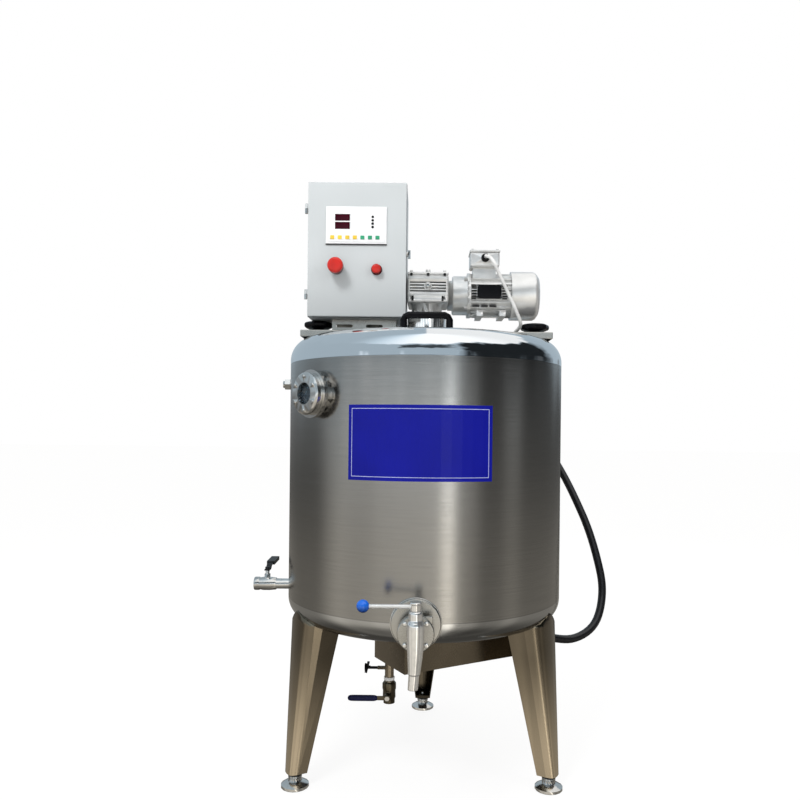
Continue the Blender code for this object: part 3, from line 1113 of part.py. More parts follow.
def build_outlet(gauge):
    axis_y = -OUTLET_AXIS
    top = OUTLET_Z + 0.047
    body = turned("outlet_body", [
        (0, top), (0.0145, top), (0.0145, OUTLET_Z + 0.024), (0.0190, OUTLET_Z + 0.016),
        (0.0190, OUTLET_Z - 0.014), (0.0170, OUTLET_Z - 0.030), (0.0113, SPOUT_END), (0, SPOUT_END)], "chrome", (OUTLET_X, axis_y, 0), (0, 0, 0), 16)
    level = (OUTLET_X, 0, OUTLET_Z)
    pad = turned("outlet_pad", cylinder(PAD_RADIUS, TANK_RADIUS + 0.008, TANK_RADIUS - 0.09, 0.003), None, level,
                 facing(0), 24)
    cut(pad, gauge)
    neck = turned("outlet_neck", cylinder(0.026, TANK_RADIUS + 0.032, TANK_RADIUS + 0.004), None, level, facing(0), 24)
    low = OUTLET_Z - FLANGE_DROP
    plate = turned("outlet_flange", cylinder(0.0400, TANK_RADIUS + 0.046, TANK_RADIUS + 0.028, 0.002), None,
                   (OUTLET_X, 0, low), facing(0), 24)
    arm = tool_of("outlet_arm", rod(0.0165, 0.045, (OUTLET_X, axis_y + 0.0345, OUTLET_Z), "Y", 20))
    bolts = tool_of("outlet_bolts", *[rod(0.0050, 0.0102, (OUTLET_X + x, -TANK_RADIUS - 0.0491, low + z), "Y", 8)
                                      for x in (-0.0228, 0.0228) for z in (-0.0228, 0.0228)])
    tail = tool_of("outlet_tail", rod(OUTLET_PIPE, TANK_RADIUS - VESSEL_RADIUS + 0.016,
                                      (OUTLET_X, -(TANK_RADIUS + VESSEL_RADIUS) / 2 - 0.004, OUTLET_Z), "Y", 18))
    stop = tool_of("outlet_ear", bar((OUTLET_X + 0.020, -TANK_RADIUS - 0.043, OUTLET_Z + 0.010),
                                     (OUTLET_X + 0.036, -TANK_RADIUS - 0.033, OUTLET_Z + 0.026)))
    fuse(body, arm, plate, bolts, stop, neck, pad, tail)
    flow = tool_of("outlet_flow", rod(0.0100, 0.145, (OUTLET_X, axis_y + 0.0725, OUTLET_Z), "Y", 16))
    clear = turned("outlet_plug_room", [
        (0, top + 0.01), (0.0105, top + 0.01), (0.0105, OUTLET_Z - 0.025), (0.0090, SPOUT_END - 0.01),
        (0, SPOUT_END - 0.01)], None, (OUTLET_X, axis_y, 0), (0, 0, 0), 16)
    cut(body, flow, clear)
    hub = top + CLEARANCE
    plug = turned("outlet_plug", [
        (0, hub + 0.031), (0.006, hub + 0.031), (0.0155, hub + 0.020), (0.0165, hub + 0.018), (0.0165, hub + 0.0155),
        (0.0140, hub + 0.015), (0.0140, hub), (0.0100, hub), (0.0100, OUTLET_Z - 0.010), (0, OUTLET_Z - 0.010)],
        "chrome", (OUTLET_X, axis_y, 0), (0, 0, 0), 20)
    rod_z = hub + 0.0085
    fuse(plug, tool_of("outlet_lever", rod(0.0035, LEVER_REACH, (OUTLET_X - LEVER_REACH / 2, axis_y, rod_z), "X", 10)))
    bm = bmesh.new()
    bmesh.ops.create_uvsphere(bm, u_segments=16, v_segments=10, radius=BALL_RADIUS)
    ball = put("outlet_ball_knob", bm, "blue_ball", (OUTLET_X - LEVER_REACH, axis_y, rod_z), smooth=True)
    cut(ball, tool_of("ball_bore", rod(0.0035 + CLEARANCE, 0.03, (OUTLET_X - LEVER_REACH + 0.0147, axis_y, rod_z),
                                       "X", 10)))
    hang("outlet_axis", (OUTLET_X, axis_y, 0), plug, ball)


# Under the tank
def heater_frame(along, across):
    """A place in the heater box's own directions, counted from its near corner."""
    turn = HEATER_TURN
    long_way = Vector((math.cos(turn), math.sin(turn)))
    wide_way = Vector((-math.sin(turn), math.cos(turn)))
    return HEATER_NEAR + long_way * along + wide_way * across


def build_heater():
    top = TANK_BOTTOM - CLEARANCE
    low = top - HEATER_HIGH
    bm = bmesh.new()
    add_span(bm, (0, 0, low), (HEATER_LONG, HEATER_WIDE, top))
    box = put("heater_box", bm, "leg_steel", (*HEATER_NEAR, 0), (0, 0, HEATER_TURN))
    bm = bmesh.new()
    add_span(bm, (HEATER_WALL, HEATER_WALL, low + HEATER_WALL),
             (HEATER_LONG - HEATER_WALL, HEATER_WIDE - HEATER_WALL, top + 0.01))
    cut(box, put("heater_room", bm, None, (*HEATER_NEAR, 0), (0, 0, HEATER_TURN)))
    end = heater_frame(HEATER_LONG, HEATER_WIDE / 2)
    way = (0, math.pi / 2, HEATER_TURN)
    hole = turned("heater_gland_hole", cylinder(0.010 + CLEARANCE, 0.02, -0.02), None, (end.x, end.y, HEATER_GLAND_Z), way)
    cut(box, hole)
    turned("conduit_gland", [
        (0, GLAND_OUT), (0.015, GLAND_OUT), (0.015, 0.014), (0.018, 0.013), (0.018, CLEARANCE), (0.010, CLEARANCE),
        (0.010, -0.010), (0, -0.010)], "black", (end.x, end.y, HEATER_GLAND_Z), way, steps=12)
    middle = heater_frame(HEATER_LONG / 2, HEATER_WIDE / 2)
    x, y = middle
    floor = JACKET_FLOOR + JACKET_WALL
    element = turned("heating_element", [
        (0, floor + 0.003), (HEATER_STEM, floor + 0.003), (HEATER_STEM, top - 0.008), (0.024, top - 0.008),
        (0.024, top - 0.020), (0, top - 0.020)], "brushed", (x, y, 0), steps=20)
    high = floor + 0.0115
    loop = [(x, y - 0.010, floor - 0.002), (x, y - 0.010, high - 0.004), (x + 0.006, y - 0.012, high),
            (x + 0.12, y - 0.030, high), (x + 0.14, y - 0.018, high), (x + 0.147, y, high),
            (x + 0.14, y + 0.018, high), (x + 0.12, y + 0.030, high), (x + 0.006, y + 0.012, high),
            (x, y + 0.010, high - 0.004), (x, y + 0.010, floor - 0.002)]
    fuse(element, as_mesh(sweep("element_loop", loop, 0.0042, None, resolution=2)))
    build_drain(floor)


def build_drain(floor):
    low = DRAIN_VALVE_TOP + CLEARANCE
    pipe = turned("drain_pipe", [
        (0.0085, floor + 0.003), (DRAIN_PIPE, floor + 0.003), (DRAIN_PIPE, low + 0.0035), (0.0128, low + 0.003),
        (0.0128, low), (0.0085, low)], "brushed", (DRAIN_X, DRAIN_Y, 0), steps=20)
    left = DRAIN_X - DRAIN_PIPE
    fuse(pipe, tool_of("petcock_body", rod(0.0048, 0.020, (left - 0.0085, DRAIN_Y, PETCOCK_Z), "X", 12)))
    start = left - 0.0185 - CLEARANCE
    handle = turned("petcock_handle", cylinder(0.0036, start, start - 0.027), "black", (0, DRAIN_Y, PETCOCK_Z),
                    (0, math.pi / 2, 0), 12)
    fuse(handle, tool_of("petcock_wing", brick((0.0065, 0.009, 0.028), (start - 0.0265, DRAIN_Y, PETCOCK_Z + 0.001),
                                               (0, 0.25, 0))))
    top = DRAIN_VALVE_TOP
    bottom = top - DRAIN_VALVE_HIGH
    body = turned("drain_valve_body", [
        (0.0085, top), (0.0145, top), (DRAIN_BODY, top - 0.004), (DRAIN_BODY, top - 0.018), (0.0160, top - 0.022),
        (0.0165, bottom + 0.014), (0.0145, bottom + 0.012), (0.0145, bottom), (0.0085, bottom)],
        "leg_steel", (DRAIN_X, DRAIN_Y, 0), steps=16)
    boss_end = DRAIN_Y - DRAIN_BODY - 0.008
    fuse(body, tool_of("drain_boss", rod(0.0080, 0.014, (DRAIN_X - 0.004, boss_end + 0.007, DRAIN_LEVER_Z), "Y", 12)),
         tool_of("drain_stem", rod(0.0038, 0.012, (DRAIN_X - 0.004, boss_end, DRAIN_LEVER_Z), "Y", 10)))
    face = boss_end - CLEARANCE
    left = DRAIN_X - 0.004
    lever = block("drain_valve_lever", (left - 0.094, face - 0.003, DRAIN_LEVER_Z - 0.0055),
                  (left + 0.008, face, DRAIN_LEVER_Z + 0.0055), "navy")
    fuse(lever, tool_of("drain_grip", bar((left - 0.100, face - 0.0065, DRAIN_LEVER_Z - 0.008),
                                          (left - 0.036, face + 0.0035, DRAIN_LEVER_Z + 0.008))),
         tool_of("drain_nut", rod(0.0062, 0.006, (left, face - 0.004, DRAIN_LEVER_Z), "Y", 6)))
    cut(lever, tool_of("drain_lever_hole", rod(0.0038 + CLEARANCE, 0.014, (left, boss_end + 0.001, DRAIN_LEVER_Z), "Y", 10)))
    hang("drain_axis", (left, DRAIN_Y, DRAIN_LEVER_Z), lever)


def build_probe():
    near = math.hypot(PROBE_X, PROBE_Y) - 0.012
    low = TANK_TOP + LID_WALL + LID_RISE * (1 - near / (LID_RADIUS - 0.002)) + 2 * CLEARANCE
    turned("temperature_probe", [
        (0, low + 0.022), (0.009, low + 0.022), (0.010, low + 0.018), (0.010, low), (PROBE_RADIUS, low),
        (PROBE_RADIUS, PROBE_END), (0, PROBE_END)], "chrome", (PROBE_X, PROBE_Y, 0), steps=12)


# Cords
def smooth_path(points, spacing):
    """Even steps along a smooth curve through chosen points, with a straight lead at both ends."""
    points = [Vector(p) for p in points]
    fine = []
    for a, b, c, d in zip(points, points[1:], points[2:], points[3:]):
        for t in np.linspace(0, 1, 24, endpoint=False):
            fine.append(0.5 * ((2 * b) + (c - a) * t + (2 * a - 5 * b + 4 * c - d) * t ** 2
                               + (3 * b - a - 3 * c + d) * t ** 3))
    fine.append(points[-2])
    steps = [0.0]
    for a, b in zip(fine, fine[1:]):
        steps.append(steps[-1] + (b - a).length)
    count = max(2, round(steps[-1] / spacing))
    wanted = np.linspace(0, steps[-1], count + 1)
    middle = [tuple(float(np.interp(w, steps, [p[i] for p in fine])) for i in range(3)) for w in wanted]
    return [tuple(points[0]), *middle, tuple(points[-1])]


def build_cords():
    face = BOX_REAR + GLAND_OUT + CLEARANCE
    start_y = TBOX_FRONT - 0.016 - CLEARANCE
    cable = [(GLAND_X, start_y, GLAND_Z), (GLAND_X, start_y - 0.012, GLAND_Z), (0.166, -0.050, GLAND_Z - 0.012),
             (0.183, -0.050, 1.262),
             (0.206, -0.042, 1.217), (0.232, -0.036, 1.163), (0.2440, -0.026, 1.1335), (0.2360, 0.004, 1.1190),
             (0.2280, 0.050, 1.1150), (0.1980, 0.110, 1.1090), (0.1300, 0.150, 1.1060), (0.0300, 0.170, 1.1110),
             (-0.0600, 0.160, 1.1250), (CABLE_X + 0.010, 0.138, GLANDS_Z - 0.022),
             (CABLE_X, face + 0.014, GLANDS_Z), (CABLE_X, face, GLANDS_Z)]
    sweep("motor_cable", smooth_path(cable, 5 * CABLE_RADIUS), CABLE_RADIUS, "white")
    end = heater_frame(HEATER_LONG + GLAND_OUT + CLEARANCE, HEATER_WIDE / 2)
    before = heater_frame(HEATER_LONG + GLAND_OUT + 0.030, HEATER_WIDE / 2)
    conduit = [(CONDUIT_X, face, GLANDS_Z), (CONDUIT_X, face + 0.030, GLANDS_Z), (-0.150, 0.260, 1.192),
               (0.050, 0.420, 1.120), (0.240, 0.440, 0.960), (0.385, 0.360, 0.790), (0.470, 0.270, 0.610),
               (0.5080, 0.210, 0.470), (0.5120, 0.180, 0.385), (0.480, 0.140, 0.315), (0.415, 0.105, 0.284),
               (0.330, 0.062, 0.300), (before.x, before.y, HEATER_GLAND_Z), (end.x, end.y, HEATER_GLAND_Z)]
    sweep("power_conduit", smooth_path(conduit, 5 * CONDUIT_RADIUS), CONDUIT_RADIUS, "rubber", resolution=2)


def centre_stand():
    """Bring the middle of the machine, without its cords, over the world's origin."""
    graph = bpy.context.evaluated_depsgraph_get()
    low, high = Vector((9, 9, 9)), Vector((-9, -9, -9))
    for obj in PARTS.objects:
        if obj.type != "MESH":
            continue
        shape = obj.evaluated_get(graph)
        for corner in shape.bound_box:
            place = obj.matrix_world @ Vector(corner)
            low = Vector(map(min, low, place))
            high = Vector(map(max, high, place))
    middle = (low + high) / 2
    STAND.location = (-middle.x, -middle.y, 0)
    bpy.context.view_layer.update()


def main():
    gauge = tank_gauge("tank_gauge")
    build_tank()
    build_legs(gauge)
    build_top()
    build_drive()
    build_control_box()
    build_wall_fittings(gauge)
    build_heater()
    build_probe()
    build_cords()
    bpy.context.view_layer.update()
    centre_stand()


main()
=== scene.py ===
import json
import math
import bpy
import bmesh
import numpy as np
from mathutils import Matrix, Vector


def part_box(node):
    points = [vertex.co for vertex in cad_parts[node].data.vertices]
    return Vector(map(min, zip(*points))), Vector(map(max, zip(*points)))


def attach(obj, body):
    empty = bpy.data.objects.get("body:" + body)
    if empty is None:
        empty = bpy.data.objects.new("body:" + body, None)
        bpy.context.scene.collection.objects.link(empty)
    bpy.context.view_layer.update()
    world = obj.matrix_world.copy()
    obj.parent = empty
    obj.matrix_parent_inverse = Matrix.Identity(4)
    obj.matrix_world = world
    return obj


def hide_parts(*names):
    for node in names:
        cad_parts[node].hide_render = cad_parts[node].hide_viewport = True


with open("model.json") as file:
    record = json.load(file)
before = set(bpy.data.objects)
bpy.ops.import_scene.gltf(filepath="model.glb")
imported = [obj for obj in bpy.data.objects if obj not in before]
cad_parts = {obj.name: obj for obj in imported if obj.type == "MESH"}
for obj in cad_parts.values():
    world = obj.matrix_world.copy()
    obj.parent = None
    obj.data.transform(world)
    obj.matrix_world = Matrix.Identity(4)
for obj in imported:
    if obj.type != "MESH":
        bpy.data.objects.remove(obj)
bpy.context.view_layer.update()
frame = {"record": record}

bl_info = {
    "name": "Milk sterilizer dressing",
    "version": (1, 0, 0),
    "blender": (4, 5, 0),
    "location": "3D View > Sidebar > Sterilizer",
    "description": "Finishes, fine pieces and studio for the jacketed milk vat",
    "category": "Object",
}

# The tank's axis in the frame, read from the shell, which is round about it
SHELL_LOW, SHELL_HIGH = (np.array(corner, dtype=float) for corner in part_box("outer_shell"))
AXIS = np.array([(SHELL_LOW[0] + SHELL_HIGH[0]) / 2, (SHELL_LOW[1] + SHELL_HIGH[1]) / 2, 0.0])

# The outer shell, in metres from the tank's axis and the floor
TANK_RADIUS = 0.350
TANK_BOTTOM = 0.382
TANK_TOP = 1.088
MOUTH_RADIUS = 0.262
KNUCKLE = 0.050
SHOULDER = 0.058
SKIN = 0.002
# The box: its door's face, the middle of its screen (x, z) and the back, where both cords go in
DOOR_FACE = -0.100
SCREEN = (-0.1777, 1.3654)
BOX_BACK = 0.0943
# The drive: the motor's axis (y, z), the terminal box's gland, the gearbox's front and base
MOTOR_AXIS = (0.050, 1.2181)
GLAND = (0.1518, 0, 1.3080)
GEAR_FRONT = -0.060
GEAR_BASE = 1.1831
FIN_DROP = 0.0600
FIN_REACH = 0.0592
# The outlet's spout: its place and its lower end
OUTLET = (-0.0163, -0.430, 0.437)
SPOUT_END = 0.321
# The drain valve's lever at its pivot, the drain pipe (x, y) and the height of the two side valves' welds
DRAIN_PIVOT = (-0.090, -0.0758, 0.178)
DRAIN = (-0.086, -0.050)
SIDE_WELDS = (("overflow_weld", 0.0105, 0.972), ("inlet_weld", 0.0142, 0.449))
FOOT_DISTANCE = 0.351
GRIP_DROP = 0.007
FRONT = (0, -1, 0)
UP = (0, 0, 1)
# The picture: its width and focal length in pixels, and the middle's shift from the optical axis
PICTURE = 800
FOCAL = 761
SHIFT = (-25.5, 28)
SENSOR = 36.0
EYE = (0, -2.0, 0.8616)
EYE_TILT = -0.0105

# Materials by the name of their look
MADE = {}


# Shapes on grids
def quads_of(index):
    """The four corners of each cell of a grid of point numbers."""
    return np.stack([index[:-1, :-1], index[:-1, 1:], index[1:, 1:], index[1:, :-1]], axis=-1).reshape(-1, 4)


def grid_object(name, points, look, body, closed_u=False, closed_v=False, sharp=32.0):
    """Put a grid of points (rows, columns, 3) into a mesh of quads; a closed way joins last to first."""
    rows, columns = points.shape[:2]
    index = np.arange(rows * columns).reshape(rows, columns)
    if closed_u:
        index = np.vstack([index, index[:1]])
    if closed_v:
        index = np.hstack([index, index[:, :1]])
    mesh = bpy.data.meshes.new(name)
    mesh.from_pydata(points.reshape(-1, 3).tolist(), [], quads_of(index).tolist())
    return finished(name, mesh, look, body, sharp)


def finished(name, mesh, look, body, sharp=32.0):
    """Weld doubles, turn the faces outwards, shade smooth below the sharp angle, and ride the body."""
    work = bmesh.new()
    work.from_mesh(mesh)
    bmesh.ops.remove_doubles(work, verts=work.verts, dist=0.000004)
    bmesh.ops.dissolve_degenerate(work, edges=work.edges, dist=0.000002)
    bmesh.ops.recalc_face_normals(work, faces=work.faces)
    work.to_mesh(mesh)
    work.free()
    mesh.shade_smooth()
    mesh.set_sharp_from_angle(angle=math.radians(sharp))
    obj = bpy.data.objects.new(name, mesh)
    bpy.context.scene.collection.objects.link(obj)
    mesh.materials.append(made_finish(look))
    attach(obj, body)
    return obj


def made_finish(look):
    """A finish by its name, made once."""
    if look not in MADE:
        maker, values = LOOKS[look][:2]
        MADE[look] = maker(look, **values)
    return MADE[look]


def reshaped(mesh, change):
    """Let a function change a mesh's points, given as an array of (x, y, z) rows."""
    places = np.empty(len(mesh.vertices) * 3)
    mesh.vertices.foreach_get("co", places)
    places = places.reshape(-1, 3)
    change(places)
    mesh.vertices.foreach_set("co", places.ravel())


def placed_box(node):
    """The low and the high corner of a node's box, measured from the tank's axis."""
    return [np.array(corner, dtype=float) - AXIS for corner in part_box(node)]


def softened(profile, radius=0.001, steps=4):
    """Round each inner corner of a profile: a quadratic arc between points set back along both sides."""
    profile = np.array(profile, dtype=float)
    rounded = [profile[:1]]
    share = np.linspace(0, 1, steps + 1)[:, None]
    for before, corner, after in zip(profile[:-2], profile[1:-1], profile[2:]):
        back, ahead = before - corner, after - corner
        reach = min(radius, 0.45 * np.linalg.norm(back), 0.45 * np.linalg.norm(ahead))
        start = corner + back / np.linalg.norm(back) * reach
        end = corner + ahead / np.linalg.norm(ahead) * reach
        rounded.append((1 - share) ** 2 * start + 2 * share * (1 - share) * corner + share ** 2 * end)
    rounded.append(profile[-1:])
    return np.vstack(rounded)


def basis(direction):
    """Two unit vectors square to a direction, and the direction itself."""
    along = np.array(direction, dtype=float)
    along /= np.linalg.norm(along)
    helper = np.array([0, 0, 1.0]) if abs(along[2]) < 0.9 else np.array([1.0, 0, 0])
    side = np.cross(helper, along)
    side /= np.linalg.norm(side)
    return side, np.cross(along, side), along


def turned(name, profile, look, body, centre=(0, 0, 0), direction=UP, segments=96, round_by=0.001,
           sharp=32.0, closed=False):
    """A profile of (radius, height) swept round a line: centre + height along + radius (cos, sin) across."""
    outline = softened(profile, round_by) if round_by else np.array(profile, dtype=float)
    side, up, along = basis(direction)
    angle = np.linspace(0, math.tau, segments, endpoint=False)
    ring = np.cos(angle)[:, None] * side + np.sin(angle)[:, None] * up
    radius, height = outline[:, None, 0:1], outline[:, None, 1:2]
    points = AXIS + np.array(centre) + height * along + radius * ring
    return grid_object(name, points, look, body, closed_u=closed, closed_v=True, sharp=sharp)


def row(name, profile, look, body, places, segments, round_by):
    """The same turned piece, facing the front, at each of several places, numbered from 1."""
    for i, place in enumerate(places):
        turned("%s_%d" % (name, i + 1), profile, look, body, place, FRONT, segments, round_by)


def arc(radius, middle, start, end, count):
    """Points (r, z) on a circle's arc, from one angle in degrees to another."""
    angle = np.radians(np.linspace(start, end, count))
    return np.stack([middle[0] + radius * np.cos(angle), middle[1] + radius * np.sin(angle)], axis=1)


def bead(radius, distance, height=0.0, steps=13):
    """A closed circle of (radius, height) for a ring-shaped bead at a distance from its axis."""
    angle = np.radians(np.linspace(0, 360, steps))
    return np.stack([distance + radius * np.cos(angle), height + radius * np.sin(angle)], axis=1)


def pillow(low, high, radius, steps=3):
    """A box with round edges: a cube's six grids pushed out from the inner box by a ball of the radius."""
    low, high = np.array(low, dtype=float), np.array(high, dtype=float)
    radius = min(radius, 0.49 * float((high - low).min()))
    middle, half = (low + high) / 2, (high - low) / 2 - radius
    quarter = np.tan(np.linspace(0, math.pi / 4, steps + 1))
    t = np.concatenate([-quarter[::-1], quarter])
    s = np.concatenate([-np.ones(steps + 1), np.ones(steps + 1)])
    faces = []
    for k in range(3):
        for sign in (-1.0, 1.0):
            i, j = (k + 1) % 3, (k + 2) % 3
            ball = np.empty((len(t), len(t), 3))
            ball[..., i] = t[:, None]
            ball[..., j] = t[None, :]
            ball[..., k] = sign
            ball /= np.linalg.norm(ball, axis=2, keepdims=True)
            core = np.empty_like(ball)
            core[..., i] = s[:, None] * half[i]
            core[..., j] = s[None, :] * half[j]
            core[..., k] = sign * half[k]
            faces.append(middle + core + radius * ball)
    return faces


def blocks(name, boxes, look, body, radius=0.0008, turn=None, sharp=50.0):
    """Several round-edged boxes in one piece; turn takes the points to another place."""
    points, quads, start = [], [], 0
    for low, high in boxes:
        for face in pillow(low, high, radius):
            rows, columns = face.shape[:2]
            index = start + np.arange(rows * columns).reshape(rows, columns)
            quads.append(quads_of(index))
            points.append(face.reshape(-1, 3))
            start += rows * columns
    points = np.vstack(points)
    if turn is not None:
        points = turn(points)
    mesh = bpy.data.meshes.new(name)
    mesh.from_pydata((points + AXIS).tolist(), [], np.vstack(quads).tolist())
    return finished(name, mesh, look, body, sharp)


def smooth_route(knots, spacing):
    """Even steps on a Catmull-Rom curve through the knots, with a straight lead at both ends."""
    knots = np.array(knots, dtype=float)
    t = np.linspace(0, 1, 24, endpoint=False)[:, None]
    spans = [0.5 * (2 * b + (c - a) * t + (2 * a - 5 * b + 4 * c - d) * t ** 2
                    + (3 * b - a - 3 * c + d) * t ** 3)
             for a, b, c, d in zip(knots, knots[1:], knots[2:], knots[3:])]
    fine = np.vstack(spans + [knots[-2:-1]])
    steps = np.concatenate([[0], np.cumsum(np.linalg.norm(np.diff(fine, axis=0), axis=1))])
    wanted = np.linspace(0, steps[-1], max(2, round(steps[-1] / spacing)) + 1)
    middle = np.stack([np.interp(wanted, steps, fine[:, i]) for i in range(3)], axis=1)
    return np.vstack([knots[:1], middle, knots[-1:]])


def hose(name, knots, radius, look, spacing, sides=20):
    """A round tube: circles square to the route, carried along it without twist, closed by flat ends."""
    route = smooth_route(knots, spacing) + AXIS
    heading = np.gradient(route, axis=0)
    heading /= np.linalg.norm(heading, axis=1, keepdims=True)
    side, _, _ = basis(heading[0])
    rings = []
    angle = np.linspace(0, math.tau, sides, endpoint=False)[:, None]
    for point, along in zip(route, heading):
        side = side - along * side.dot(along)
        side /= np.linalg.norm(side)
        rings.append(point + radius * (np.cos(angle) * side + np.sin(angle) * np.cross(along, side)))
    rings = [np.repeat(route[:1], sides, axis=0), *rings, np.repeat(route[-1:], sides, axis=0)]
    return grid_object(name, np.array(rings), look, "tank", closed_v=True, sharp=60), route


# Shader maths
def math_step(operation, reflected=False):
    """A method that adds one Math node; a reflected one puts the value in second place."""
    def step(self, other=None):
        first, second = (other, self) if reflected else (self, other)
        inputs = {0: first} if second is None else {0: first, 1: second}
        return self.nodes.value("ShaderNodeMath", 0, {"operation": operation}, inputs)
    return step


class Value:
    """A socket that takes part in expressions; each step adds a Math node."""

    def __init__(self, nodes, socket):
        self.nodes = nodes
        self.socket = socket

    __add__ = math_step("ADD")
    __radd__ = math_step("ADD", True)
    __sub__ = math_step("SUBTRACT")
    __rsub__ = math_step("SUBTRACT", True)
    __mul__ = math_step("MULTIPLY")
    __rmul__ = math_step("MULTIPLY", True)
    __abs__ = math_step("ABSOLUTE")
    at_least = math_step("MAXIMUM")
    at_most = math_step("MINIMUM")
    turn_of = math_step("ARCTAN2")

    def rise(self, low, high):
        """0 below low, 1 above high, smooth between."""
        return self.nodes.value("ShaderNodeMapRange", "Result", {"interpolation_type": "SMOOTHSTEP"},
                                {"Value": self, "From Min": low, "From Max": high})

    def between(self, start, end):
        """1 inside a stretch, with a soft start and a soft end."""
        return self.rise(*start) * (1.0 - self.rise(*end))


class Nodes:
    """A tree of nodes and the one method that adds a node to it."""

    def __init__(self, tree):
        self.tree = tree

    def node(self, kind, settings=None, inputs=None):
        """Add a node of a type, with its settings first and then its sockets' values or links."""
        made = self.tree.nodes.new(kind)
        for key, value in (settings or {}).items():
            setattr(made, key, value)
        for key, value in (inputs or {}).items():
            source = value.socket if isinstance(value, Value) else value
            if isinstance(source, bpy.types.NodeSocket):
                self.tree.links.new(source, made.inputs[key])
            else:
                made.inputs[key].default_value = source
        return made

    def value(self, kind, output, settings=None, inputs=None):
        """A new node's output, ready for expressions."""
        return Value(self, self.node(kind, settings, inputs).outputs[output])

    def axes(self, place):
        """The three parts of a vector socket."""
        parts = self.node("ShaderNodeSeparateXYZ", inputs={"Vector": place})
        return [Value(self, parts.outputs[k]) for k in "XYZ"]

    def blend(self, mask, first, second):
        """Mix two colours or colour sockets by a value."""
        first, second = ((*c, 1.0) if isinstance(c, tuple) else c for c in (first, second))
        return self.node("ShaderNodeMix", {"data_type": "RGBA"}, {0: mask, 6: first, 7: second}).outputs[2]

    def either(self, mask, first, second):
        """Mix two shaders by a value."""
        return self.node("ShaderNodeMixShader", inputs={0: mask, 1: first, 2: second}).outputs[0]


class Finish(Nodes):
    """One material's nodes: a Principled shader, object coordinates and the helpers a finish needs."""

    def __init__(self, name, **constants):
        self.material = bpy.data.materials.new(name)
        self.material.use_nodes = True
        super().__init__(self.material.node_tree)
        self.shader = self.tree.nodes["Principled BSDF"]
        for socket, value in constants.items():
            self.shader.inputs[socket.replace("_", " ")].default_value = value
        self.place = self.node("ShaderNodeTexCoord").outputs["Object"]
        self.x, self.y, self.z = self.axes(self.place)

    def noise(self, scale, stretch=(1, 1, 1), detail=2.0, roughness=0.5):
        """Noise over object coordinates that are stretched along the axes."""
        place = self.node("ShaderNodeMapping", inputs={"Vector": self.place, "Scale": stretch}).outputs[0]
        return self.value("ShaderNodeTexNoise", "Fac", None, {
            "Vector": place, "Scale": scale, "Detail": detail, "Roughness": roughness})

    def cloudy(self, cloud, colour, spread):
        """A colour that the cloud makes darker and lighter by the spread."""
        return self.blend(cloud.rise(0.3, 0.7), shade(colour, 1 - spread), shade(colour, 1 + spread))

    def bump(self, height, strength, distance=0.0003):
        """Tilt the shading by a height."""
        made = self.node("ShaderNodeBump", inputs={
            "Height": height, "Strength": strength, "Distance": distance})
        self.tree.links.new(made.outputs["Normal"], self.shader.inputs["Normal"])

    def feed(self, colour, rough):
        """Give the shader its colour and roughness, and return the material."""
        self.tree.links.new(colour, self.shader.inputs["Base Color"])
        self.tree.links.new(rough.socket, self.shader.inputs["Roughness"])
        return self.material


def shade(colour, factor):
    """A colour times a factor, each part at most 1."""
    return tuple(min(1.0, c * factor) for c in colour)


def chosen(colour):
    """A colour as given, or the user's colour of that name."""
    return tuple(getattr(bpy.context.scene.vat_colours, colour)) if isinstance(colour, str) else colour


def sheet_steel(name):
    """Satin sheet with a horizontal grain; shoulder and knuckle are polished, with a weld line at each."""
    satin, bright = chosen("satin"), chosen("bright")
    finish = Finish(name, Metallic=1.0)
    grain = finish.noise(1.0, (9, 9, 900), 3.0, 0.6)
    coarse = finish.noise(1.0, (4, 4, 160))
    cloud = finish.noise(2.2, (1, 1, 0.35), 3.0, 0.55)
    upper = finish.z.rise(1.0185, 1.0215)
    lower = (1.0 - finish.z.rise(0.4345, 0.4375)) * 0.35
    polished = upper.at_least(lower)
    seam = abs(finish.z - 1.0200).at_most(abs(finish.z - 0.4360))
    line = 1.0 - seam.rise(0.0004, 0.0013)
    colour = finish.blend(grain.rise(0.35, 0.7) * 0.35, finish.cloudy(cloud, satin, 0.10), shade(satin, 0.78))
    colour = finish.blend(polished, colour, bright)
    colour = finish.blend(line * 0.5, colour, shade(satin, 0.55))
    rough = 0.155 + coarse * 0.07 + grain * 0.06
    rough = rough * (1.0 - polished) + polished * (0.035 + cloud * 0.05)
    finish.bump(grain * (1.0 - polished) * 0.6 + line * 0.5, 0.25, 0.0004)
    return finish.feed(colour, rough)


def steel(name, colour, rough, stretch=(1, 1, 1), spread=0.10, wear=0.12, grain_scale=260.0, metal=1.0):
    """Steel with a drawn grain along one way, cloudy tone and a slight unevenness."""
    finish = Finish(name, Metallic=metal)
    grain = finish.noise(grain_scale, stretch, 3.0, 0.6)
    cloud = finish.noise(9.0, (1, 1, 1), 3.0)
    tone = finish.blend(grain.rise(0.4, 0.75) * 0.3, finish.cloudy(cloud, colour, wear), shade(colour, 0.72))
    finish.bump(grain, 0.12)
    return finish.feed(tone, rough + cloud * spread + grain * 0.05)


